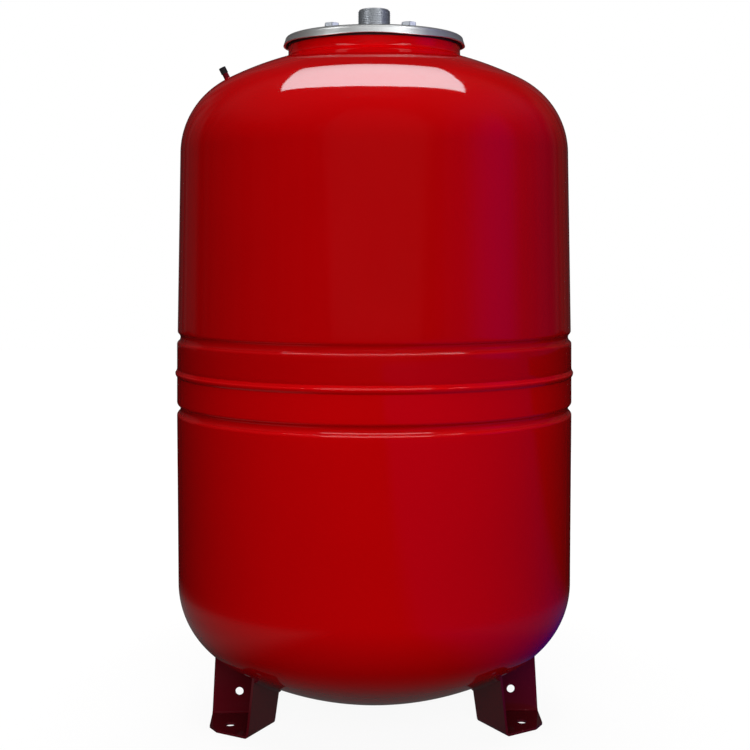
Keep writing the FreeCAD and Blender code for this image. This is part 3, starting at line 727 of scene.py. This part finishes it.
def dull(name, base, roughness, metallic=0.0, scale=400.0, lighter=1.6):
    """Rubber, plastic, brass and spring wire: a mottled tone with a fine grain."""
    material, wires, place = new_material(name)
    cloud = wires.noise(place, scale, detail=3.0, roughness=0.6, seed=11.0)
    tone = wires.mix(wires.ramp(cloud, 0.3, 0.75), tuple(base), toned(base, lighter))
    rough = wires.ramp(cloud, 0.2, 0.8, roughness - 0.06, roughness + 0.06)
    end_material(wires, {"Base Color": tone, "Metallic": metallic, "Roughness": rough}, cloud, 0.15, 0.1 * MM)
    return material


def finish(name):
    """The finish with this name, made on first use."""
    made = bpy.data.materials.get(name)
    if made:
        return made
    look = bpy.context.scene.tank_paint
    makers = {
        "gloss_red": lambda: paint(name, look.red, 1.48),
        # Dark red that paints the shade on the feet, with real rubbed spots
        "foot_red": lambda: paint(name, look.foot, 1.6, worn=0.5),
        "zinc_plate": zinc_plate,
        "zinc_bolts": zinc_bolts,
        "nipple_steel": nipple_steel,
        "black_rubber": lambda: dull(name, look.rubber, 0.62),
        "cap_plastic": lambda: dull(name, look.plastic, 0.4),
        "core_brass": lambda: dull(name, look.brass, 0.3, metallic=1.0, scale=900.0, lighter=1.15),
        "spring_wire": lambda: dull(name, (0.6, 0.6, 0.6), 0.28, metallic=1.0, scale=900.0, lighter=1.1),
    }
    return makers[name]()


def dress(finish_name, *nodes):
    """Gives nodes of the frame a finish."""
    for node in nodes:
        piece = frame["nodes"][node]
        if not piece.material_slots:
            piece.data.materials.append(finish(finish_name))
        for slot in piece.material_slots:
            slot.material = finish(finish_name)


def hand_over(piece, body, node):
    """Lets a piece ride on a body and stand for a node of the frame."""
    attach(piece, body)
    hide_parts(node)


# Operators

class TANK_OT_shells(bpy.types.Operator):
    """Makes the upper and the lower pressed shell"""

    bl_idname = "tank.shells"
    bl_label = "Shells"

    def execute(self, context):
        vessel = context.scene.tank_vessel
        valve = context.scene.tank_valve
        neck_hole = context.scene.tank_flange.neck_radius + 2 * HOLE_ROOM
        section = joined(upper_side(vessel, 0.0, neck_hole)[::-1], upper_side(vessel, vessel.sheet, neck_hole))
        piece = grown("upper_shell_skin", section_mesh(section), "Turned piece", "gloss_red",
                      segments=vessel.segments)
        reach = 6 * MM
        cutter = rod("valve_hole", valve.stem + HOLE_ROOM, -reach, reach, valve_place(vessel, valve))
        hand_over(cut_away(piece, cutter), "tank", "upper_shell")
        section = joined(lower_side(vessel, vessel.sheet)[::-1], lower_side(vessel, 0.0))
        piece = grown("lower_shell_skin", section_mesh(section, closed=False), "Turned piece", "gloss_red",
                      segments=vessel.segments)
        hand_over(piece, "tank", "lower_shell")
        return {"FINISHED"}


# The belly bead's outside from its top edge down: shares of half its width and of its height
BEAD_PROFILE = ((1.0, 0.0), (0.88, 0.16), (0.74, 0.3), (0.6, 0.41), (0.46, 0.49), (0.38, 0.55), (0.31, 0.66),
                (0.25, 0.79), (0.19, 0.9), (0.1, 0.97), (0.0, 1.0), (-0.12, 0.985), (-0.25, 0.94), (-0.38, 0.86),
                (-0.52, 0.74), (-0.66, 0.57), (-0.8, 0.36), (-0.91, 0.17), (-1.0, 0.0))


class TANK_OT_belly_weld(bpy.types.Operator):
    """Makes the rippled weld bead round the belly seam"""

    bl_idname = "tank.belly_weld"
    bl_label = "Belly weld"

    def execute(self, context):
        vessel = context.scene.tank_vessel
        weld = context.scene.tank_weld
        half = weld.width / 2
        root_half = half * 0.9
        middle = vessel.belly_radius
        ripples_from = middle + 0.05 * MM
        crown = [(middle + weld.proud * out, vessel.seam_height + half * rise) for rise, out in BEAD_PROFILE]
        root = middle - weld.root
        section = joined(crown, [(root, vessel.seam_height - root_half), (root, vessel.seam_height + root_half)])
        piece = grown("belly_weld_bead", section_mesh(section), "Rippled bead", "gloss_red", crease=70,
                      segments=900, middle_radius=ripples_from, ripple_depth=weld.ripple,
                      ripple_length=weld.ripple_length, seed=4.0)
        hand_over(piece, "tank", "belly_weld")
        return {"FINISHED"}


class TANK_OT_neck(bpy.types.Operator):
    """Makes the neck's fillet weld and paints the neck ring"""

    bl_idname = "tank.neck"
    bl_label = "Neck"

    def execute(self, context):
        dish = upper_dish(context.scene.tank_vessel)
        leg = context.scene.tank_weld.neck_leg
        neck = context.scene.tank_flange.neck_radius
        foot = (neck + leg, dish.height_at(neck + leg))
        top = (neck, dish.height_at(neck) + leg)
        bend = leg * 1.12
        sunk = 0.8 * MM
        hollow = arc((neck + bend, foot[1] + leg * 1.15), bend, math.pi, 1.5 * math.pi, step=6)
        section = joined([top], hollow[1:-1],
                         [foot, (neck + leg, foot[1] - sunk), (neck, dish.height_at(neck) - sunk)])
        piece = grown("neck_weld_fillet", section_mesh(section), "Rippled bead", "gloss_red", crease=60,
                      segments=540, middle_radius=neck + 0.3 * MM, ripple_depth=0.05 * MM,
                      ripple_length=6 * MM, seed=9.0)
        hand_over(piece, "tank", "neck_weld")
        dress("gloss_red", "neck_ring")
        return {"FINISHED"}


class TANK_OT_flange(bpy.types.Operator):
    """Makes the pressed flange plate with its wavy skirt"""

    bl_idname = "tank.flange"
    bl_label = "Flange plate"

    def execute(self, context):
        sizes = context.scene.tank_flange
        top, low = FLANGE_HIGH.z, FLANGE_LOW.z
        inner = sizes.pipe_radius + HOLE_ROOM
        skirt = FLANGE_HIGH.x
        flare = 2.5 * MM
        shoulder = skirt - flare
        outer_bend = 4 * MM
        inner_bend = 1 * MM
        corner = (shoulder - outer_bend, top - outer_bend)
        edge = 0.5 * MM
        section = joined(
            stretched((inner, top), (corner[0], top), 5 * MM),
            arc(corner, outer_bend, math.pi / 2, 0, step=5),
            stretched((shoulder, corner[1]), (skirt, low + edge), 0.8 * MM),
            arc((skirt - edge, low + edge), edge, 0, -math.pi / 2, step=15),
            [(skirt - sizes.plate, low)],
            stretched((skirt - sizes.plate, low), (shoulder - sizes.plate, corner[1]), 0.8 * MM),
            arc(corner, inner_bend, 0, math.pi / 2, step=10),
            stretched((corner[0], top - sizes.plate), (inner, top - sizes.plate), 8 * MM))
        first = first_bolt(sizes)
        piece = grown("flange_plate_zinc", section_mesh(section), "Wavy skirt", "zinc_plate", segments=360,
                      waves=float(sizes.bolt_count), first_wave=first, wave_height=sizes.skirt_wave,
                      skirt_top=top - outer_bend, skirt_edge=low)
        hole_radius = 5.5 * MM
        for index in range(sizes.bolt_count):
            turn = first + math.tau * index / sizes.bolt_count
            spot = Vector((sizes.bolt_circle * math.cos(turn), sizes.bolt_circle * math.sin(turn), 0))
            cutter = rod("bolt_hole", hole_radius, top - 5 * MM, top + 2 * MM, Matrix.Translation(spot))
            cut_away(piece, cutter)
        hand_over(piece, "tank", "flange_plate")
        return {"FINISHED"}


class TANK_OT_nipple(bpy.types.Operator):
    """Makes the threaded water connection"""

    bl_idname = "tank.nipple"
    bl_label = "Connection nipple"

    def execute(self, context):
        sizes = context.scene.tank_flange
        pipe, crest = sizes.pipe_radius, sizes.thread_radius
        wall, plain_pipe, height = 3.7 * MM, 4.5 * MM, 37.2 * MM
        bore = pipe - wall
        pipe_end = FLANGE_HIGH.z + plain_pipe
        thread_start = pipe_end + pipe - crest
        edge = 4 * MM
        corner = (crest - edge, FLANGE_HIGH.z + height - edge)
        bevel = 0.8 * MM
        bend = arc(corner, edge, math.acos((bore + bevel - corner[0]) / edge), 0, step=3)
        mouth = (bore, bend[0][1] - bevel)
        section = joined([mouth], bend,
                         stretched((crest, corner[1]), (crest, thread_start), 0.22 * MM),
                         stretched((pipe, pipe_end), (pipe, NIPPLE_LOW.z), 3 * MM),
                         stretched((bore, NIPPLE_LOW.z), mouth, 3 * MM)[:-1])
        piece = grown("nipple_thread", section_mesh(section), "Threaded pipe", "nipple_steel", crease=40,
                      segments=160, pitch=sizes.thread_pitch, depth=sizes.thread_depth,
                      thread_start=thread_start, thread_end=NIPPLE_HIGH.z + sizes.thread_pitch,
                      root_radius=19 * MM)
        hand_over(piece, "tank", "connection_nipple")
        dress("zinc_plate", "nipple_weld")
        return {"FINISHED"}


class TANK_OT_bolts(bpy.types.Operator):
    """Makes the six flange bolts"""

    bl_idname = "tank.bolts"
    bl_label = "Flange bolts"

    def execute(self, context):
        sizes = context.scene.tank_flange
        seat, end = FLANGE_HIGH.z, BOLTS_LOW.z
        top = seat + sizes.bolt_head
        flats = sizes.bolt_flats / 2
        crown = flats * 0.985
        slope = math.tan(math.radians(30))
        shank = 5 * MM
        chamfer = 0.8 * MM
        sides = 72
        outline = []
        for index in range(sides):
            turn = math.tau * index / sides
            from_flat = (turn - sizes.hex_turn - math.pi / 2) % (math.pi / 3) - math.pi / 6
            outline.append((turn, flats / math.cos(from_flat)))
        levels = [
            [(turn, crown, top) for turn, _ in outline],
            [(turn, reach, top - max(0.0, reach - crown) * slope) for turn, reach in outline],
            [(turn, reach, seat) for turn, reach in outline],
            [(turn, shank, seat) for turn, _ in outline],
            [(turn, shank, end + chamfer) for turn, _ in outline],
            [(turn, shank - chamfer, end) for turn, _ in outline],
        ]
        shape = bmesh.new()
        rings = [[shape.verts.new((reach * math.cos(turn), reach * math.sin(turn), height))
                  for turn, reach, height in level] for level in levels]
        shape.faces.new(rings[0])
        for upper, lower in zip(rings, rings[1:]):
            for index in range(sides):
                after = (index + 1) % sides
                shape.faces.new((upper[index], lower[index], lower[after], upper[after]))
        shape.faces.new(rings[-1][::-1])
        bmesh.ops.recalc_face_normals(shape, faces=shape.faces)
        base = bpy.data.meshes.new("bolt")
        shape.to_mesh(base)
        shape.free()
        for face in base.polygons:
            face.use_smooth = True
        piece = grown("flange_bolts_zinc", base, "Bolt circle", "zinc_bolts", crease=20, count=sizes.bolt_count,
                      circle_radius=sizes.bolt_circle, first=first_bolt(sizes))
        hand_over(piece, "tank", "flange_bolts")
        return {"FINISHED"}


class TANK_OT_valve(bpy.types.Operator):
    """Makes the ribbed valve cap and finishes the valve's other pieces"""

    bl_idname = "tank.valve"
    bl_label = "Gas valve"

    def execute(self, context):
        sizes = context.scene.tank_valve
        place = valve_place(context.scene.tank_vessel, sizes)
        low, inner, top = 9.0 * MM, 15.8 * MM, 17.4 * MM
        bore = 3.97 * MM
        rim = sizes.cap
        edge = 0.6 * MM
        section = joined([(0.0, top)], arc((rim - edge, top - edge), edge, math.pi / 2, 0, step=15),
                         stretched((rim, top - edge), (rim, low), 0.9 * MM),
                         [(bore, low), (bore, inner), (0.0, inner)])
        piece = grown("valve_cap_ribbed", section_mesh(section, closed=False), "Ribbed cap", "cap_plastic",
                      crease=40, segments=216, ribs=float(sizes.ribs), rib_depth=sizes.rib_depth,
                      rib_radius=rim - 0.05 * MM, foot=place.to_translation(), turn=place.to_euler())
        hand_over(piece, "cap", "valve_cap")
        # The stem takes the feet's darker red, whose darkness is painted shade
        dress("foot_red", "valve_stem")
        dress("gloss_red", "valve_stem_weld")
        dress("black_rubber", "valve_cap_seal", "valve_core_gasket", "valve_core_seal")
        dress("core_brass", "valve_core_body", "valve_core_pin")
        dress("spring_wire", "valve_core_spring")
        return {"FINISHED"}


class TANK_OT_feet(bpy.types.Operator):
    """Paints the three feet and their welds"""

    bl_idname = "tank.feet"
    bl_label = "Feet"

    def execute(self, context):
        for name in ("foot_left", "foot_right", "foot_rear"):
            # The feet's dark red is painted shade: it stands in for the shade that the lamps don't give them
            dress("foot_red", name, name + "_welds")
        return {"FINISHED"}


class TANK_OT_membrane(bpy.types.Operator):
    """Finishes the rubber membrane, whose lip shows under the flange"""

    bl_idname = "tank.membrane"
    bl_label = "Membrane"

    def execute(self, context):
        dress("black_rubber", "membrane")
        return {"FINISHED"}


# Stage

TANK_MIDDLE = Vector((0.0, 0.0, 0.45))
FLANGE_MIDDLE = Vector((0.0, 0.0, FLANGE_HIGH.z))
ROOM_DISTANCE = 2.2      # of the lamps that light the whole tank
PIECE_DISTANCE = 1.5     # of the lamps that light some pieces
ROOM_SIZE = (1.1, 1.1)
FRONT_RISE = 16          # of the wide light from the front, in degrees
FRONT_WIDTH = 60         # and how wide it is, in degrees
WALL_GLOW = 0.015        # light that the background throws on matt surfaces
SENSOR_WIDTH = 36.0      # of the camera, in millimetres
FLOOR_REACH = 6.0
SOFTBOX_HEIGHT = 2.6
SOFTBOX_TINT = (0.77, 1.0, 1.05, 1.0)
SOFTBOX_FALL = 0.558     # its brightness falls by this share in each metre to the back
SOFTBOX_LEAST = 0.3      # but to no less than this share

# Corners of the ceiling softbox, seen from above
SOFTBOX_CORNERS = ((-1.318, -0.018), (-1.128, -0.114), (-0.788, -0.334), (-0.468, -0.484), (-0.018, -0.567),
                   (0.33, -0.546), (0.659, -0.45), (1.01, -0.296), (1.33, -0.22), (1.09, 0.214), (0.878, 0.52),
                   (0.703, 0.918), (0.54, 1.3), (0.157, 1.3), (-0.231, 1.35), (-0.56, 1.35), (-0.689, 1.042),
                   (-0.881, 0.63), (-1.087, 0.334))

# Lamps that light the whole tank: setting, azimuth and rise in degrees
ROOM_LAMPS = (("top", -3, 75), ("back_left", -150, 5), ("back_right", 150, 5), ("behind", 180, 30))

# Lamps that light some pieces: name, level, size, azimuth and rise in degrees, pieces, and whether these mirror it
PIECE_LAMPS = (("metal_high", 1.1, (1.6, 0.7), 8, 44, "turned_metal", True),
               ("metal_wide", 0.4, (0.9, 1.2), 4, 12, "turned_metal", True),
               ("metal_left", 7.0, (0.26, 1.2), -54, 12, "turned_metal", True),
               ("metal_right", 6.0, (0.26, 1.2), 40, 12, "turned_metal", True),
               ("metal_spot", 1.6, (0.4, 0.8), 34, 44, "turned_metal", True),
               ("bolt_left", 2.4, (0.3, 1.0), -49, 12, "bolts", True),
               ("bolt_right", 3.0, (0.3, 1.0), 62, 12, "bolts", True),
               ("neck_left", 1.6, (0.4, 1.0), -48, 45, "neck", True),
               ("neck_right", 2.2, (0.4, 1.0), 42, 45, "neck", True),
               ("neck_front", 1.6, (1.2, 0.6), 0, 12, "neck", False),
               ("belt_front", 3.6, (1.7, 0.5), 0, 35, "belt", True))


def group_of(name, pieces):
    """A collection of pieces, for the lamps that light only them."""
    made = bpy.data.collections.new(name)
    for piece in pieces:
        made.objects.link(piece)
    return made


def named(*names):
    return [bpy.data.objects[name] for name in names]


def wearing(*finishes):
    """The pieces of the scene that carry one of these finishes."""
    return [piece for piece in bpy.context.scene.objects
            if any(slot.material and slot.material.name in finishes for slot in piece.material_slots)]


def spot(middle, azimuth, rise, distance):
    """A place round the middle; azimuth from the front towards +X, both angles in degrees."""
    turn, lift = math.radians(azimuth), math.radians(rise)
    return middle + distance * Vector((math.sin(turn) * math.cos(lift), -math.cos(turn) * math.cos(lift),
                                       math.sin(lift)))


def lamp(name, kind, strength, place, aim):
    """A lamp that nothing mirrors and the camera doesn't see."""
    data = bpy.data.lights.new(name, kind)
    data.energy = strength
    made = placed(name, data)
    made.location = place
    made.rotation_euler = (aim - place).to_track_quat("-Z", "Y").to_euler()
    made.visible_camera = False
    made.visible_glossy = False
    return made


def panel_lamp(name, strength, size, place, aim):
    """A flat lamp of this width and height."""
    made = lamp(name, "AREA", strength, place, aim)
    made.data.shape = "RECTANGLE"
    made.data.size, made.data.size_y = size
    return made


class TANK_OT_stage(bpy.types.Operator):
    """Sets the floor, the background, the softbox, the lamps and the camera"""

    bl_idname = "tank.stage"
    bl_label = "Stage"

    def execute(self, context):
        studio = context.scene.tank_studio
        self.make_floor(studio)
        self.make_background(context.scene, studio)
        self.make_softbox(studio)
        self.make_lamps(studio)
        self.make_camera(context.scene, studio)
        context.scene.view_settings.view_transform = "Standard"
        return {"FINISHED"}

    def make_floor(self, studio):
        """White in the camera; dark in reflections but for a patch under the tank and tints beside it."""
        mesh = bpy.data.meshes.new("floor")
        mesh.from_pydata([(x * FLOOR_REACH, y * FLOOR_REACH, 0) for x, y in ((-1, -1), (1, -1), (1, 1), (-1, 1))],
                         [], [(0, 1, 2, 3)])
        floor = placed("floor", mesh)
        material, wires, place = new_material("pale_floor")
        mirrored, straight = wires.rays()
        x, y, _ = wires.parts(place)
        far = wires.radius(x, y)
        # Painted shade: in the camera the floor is a little darker near the tank, a soft pool of shade round it;
        # the matt part adds the real shadow
        shown = wires.times(straight, wires.ramp(far, 0.3, 1.1, studio.near_white, 1.0))
        matt = wires.node("ShaderNodeBsdfDiffuse", {"Color": (studio.floor, studio.floor, studio.floor, 1.0)})
        white = wires.node("ShaderNodeEmission", {"Strength": shown})
        both = wires.node("ShaderNodeAddShader", {0: matt.outputs[0], 1: white.outputs[0]})
        # For reflections: paler under the tank, grey to its left and right, blue at the front right
        under = wires.ramp(far, 0.27, 0.17, 0.004, studio.under)
        beside = wires.add(wires.ramp(x, -0.2, -0.36, 0.0, 0.12), wires.ramp(x, 0.3, 0.45, 0.0, 0.03))
        grey = wires.add(under, wires.times(wires.ramp(far, 0.8, 0.5), beside))
        blue = wires.times(wires.ramp(far, 0.5, 0.9, 0.15, 0.08), wires.ramp(x, 0.1, 0.35),
                           wires.ramp(y, 0.5, 0.1))
        tint = wires.vector(grey, grey, wires.add(grey, blue))
        dim = wires.node("ShaderNodeEmission", {"Color": tint, "Strength": 1.0})
        seen = wires.node("ShaderNodeMixShader", {0: mirrored, 1: both.outputs[0], 2: dim.outputs[0]})
        wires.node("ShaderNodeOutputMaterial", {"Surface": seen.outputs[0]})
        mesh.materials.append(material)

    def make_background(self, scene, studio):
        """White for the camera; dim walls with a blue patch on the right for reflections."""
        world = bpy.data.worlds.new("studio")
        world.use_nodes = True
        scene.world = world
        wires = Wiring(world.node_tree)
        mirrored, straight = wires.rays()
        x, y, z = wires.parts(wires.node("ShaderNodeTexCoord").outputs["Generated"])
        # For reflections: a strong and a wide blue patch on the right, streaked walls, a paler ceiling
        patch = wires.times(wires.ramp(x, 0.74, 0.95, 0.0, 0.24), wires.ramp(y, 0.05, -0.25))
        wide = wires.times(wires.ramp(x, 0.45, 0.8, 0.0, 0.07), wires.ramp(y, 0.8, 0.3))
        level = wires.ramp(z, 0.1, 0.7, studio.mirrored, 3.0 * studio.mirrored)
        streaks = wires.noise(wires.vector(x, y, 0.0), 9.0, roughness=0.6, seed=4.0)
        sides = wires.times(wires.ramp(y, 0.5, 0.66, 0.35, 1.0), wires.ramp(streaks, 0.35, 0.65, 0.6, 1.8))
        above = wires.times(wires.ramp(y, -0.9, -0.2, 0.3, 1.0), wires.ramp(y, 0.35, 0.6, 1.0, 0.3))
        grey = wires.times(level, wires.mix(wires.ramp(z, 0.3, 0.6), sides, above))
        walls = wires.vector(grey, grey, wires.add(grey, wires.add(patch, wide)))
        lit = wires.mix(mirrored, (WALL_GLOW, WALL_GLOW, WALL_GLOW), walls)
        shown = wires.mix(straight, lit, (1.0, 1.0, 1.0))
        background = wires.node("ShaderNodeBackground", {"Color": shown, "Strength": 1.0})
        wires.node("ShaderNodeOutputWorld", {"Surface": background.outputs[0]})

    def make_softbox(self, studio):
        """The ceiling softbox that the painted pieces mirror, dimmer to the back."""
        mesh = bpy.data.meshes.new("softbox")
        mesh.from_pydata([(x, y, SOFTBOX_HEIGHT) for x, y in SOFTBOX_CORNERS], [],
                         [tuple(range(len(SOFTBOX_CORNERS)))[::-1]])
        panel = placed("softbox", mesh)
        material, wires, place = new_material("softbox_light")
        y = wires.parts(place)[1]
        level = wires.math("MAXIMUM", wires.minus(1.0, wires.times(y, SOFTBOX_FALL)), SOFTBOX_LEAST)
        light = wires.node("ShaderNodeEmission", {"Color": SOFTBOX_TINT,
                                                  "Strength": wires.times(level, studio.softbox)})
        wires.node("ShaderNodeOutputMaterial", {"Surface": light.outputs[0]})
        mesh.materials.append(material)
        panel.visible_camera = False
        panel.visible_diffuse = False
        panel.visible_transmission = False
        panel.visible_shadow = False
        panel.light_linking.receiver_collection = group_of("painted", wearing("gloss_red", "foot_red"))

    def make_lamps(self, studio):
        """Lamps for the whole tank, then lamps for the metal, the neck and the belt, which share one level."""
        for name, azimuth, rise in ROOM_LAMPS:
            place = spot(TANK_MIDDLE, azimuth, rise, ROOM_DISTANCE)
            panel_lamp(name, getattr(studio, name), ROOM_SIZE, place, TANK_MIDDLE)
        place = spot(TANK_MIDDLE, 0, FRONT_RISE, ROOM_DISTANCE)
        lamp("front", "SUN", studio.front, place, TANK_MIDDLE).data.angle = math.radians(FRONT_WIDTH)
        groups = {"bolts": wearing("zinc_bolts"), "turned_metal": wearing("zinc_plate", "nipple_steel"),
                  "neck": named("neck_ring", "neck_weld_fillet"),
                  "belt": named("lower_shell_skin", "belly_weld_bead")}
        groups = {name: group_of(name, pieces) for name, pieces in groups.items()}
        for name, level, size, azimuth, rise, pieces, mirrored in PIECE_LAMPS:
            made = panel_lamp(name, studio.metal * level * math.pi * size[0] * size[1], size,
                              spot(FLANGE_MIDDLE, azimuth, rise, PIECE_DISTANCE), FLANGE_MIDDLE)
            made.visible_glossy = mirrored
            made.light_linking.receiver_collection = groups[pieces]

    def make_camera(self, scene, studio):
        data = bpy.data.cameras.new("camera")
        data.lens = studio.lens
        data.sensor_width = SENSOR_WIDTH
        data.shift_x = studio.shift_x
        data.shift_y = studio.shift_y
        camera = placed("camera", data)
        camera.location = (studio.distance * math.sin(studio.side), -studio.distance * math.cos(studio.side),
                           studio.height)
        camera.rotation_euler = (math.pi / 2, 0.0, studio.side)
        scene.camera = camera


class TANK_PT_panel(bpy.types.Panel):
    """Lists the pieces of the tank"""

    bl_idname = "TANK_PT_panel"
    bl_label = "Expansion tank"
    bl_space_type = "VIEW_3D"
    bl_region_type = "UI"
    bl_category = "Tank"

    def draw(self, context):
        for operator in OPERATORS:
            self.layout.operator(operator.bl_idname)
        for name in GROUPS:
            settings = getattr(context.scene, name)
            box = self.layout.box()
            for key in settings.__annotations__:
                box.prop(settings, key)


OPERATORS = (TANK_OT_shells, TANK_OT_belly_weld, TANK_OT_neck, TANK_OT_flange, TANK_OT_nipple, TANK_OT_bolts,
             TANK_OT_valve, TANK_OT_feet, TANK_OT_membrane, TANK_OT_stage)
GROUPS = {"tank_vessel": VesselSizes, "tank_weld": WeldSizes, "tank_flange": FlangeSizes,
          "tank_valve": ValveSizes, "tank_paint": PaintLook, "tank_studio": StudioLook}


def register():
    for group in (*GROUPS.values(), *OPERATORS, TANK_PT_panel):
        bpy.utils.register_class(group)
    for name, group in GROUPS.items():
        setattr(bpy.types.Scene, name, bpy.props.PointerProperty(type=group))


def unregister():
    for name in GROUPS:
        delattr(bpy.types.Scene, name)
    for group in (TANK_PT_panel, *OPERATORS[::-1], *GROUPS.values()):
        bpy.utils.unregister_class(group)


def main():
    register()
    bpy.ops.tank.shells()
    bpy.ops.tank.belly_weld()
    bpy.ops.tank.neck()
    bpy.ops.tank.flange()
    bpy.ops.tank.nipple()
    bpy.ops.tank.bolts()
    bpy.ops.tank.valve()
    bpy.ops.tank.feet()
    bpy.ops.tank.membrane()
    bpy.ops.tank.stage()


if __name__ == "__main__":
    main()
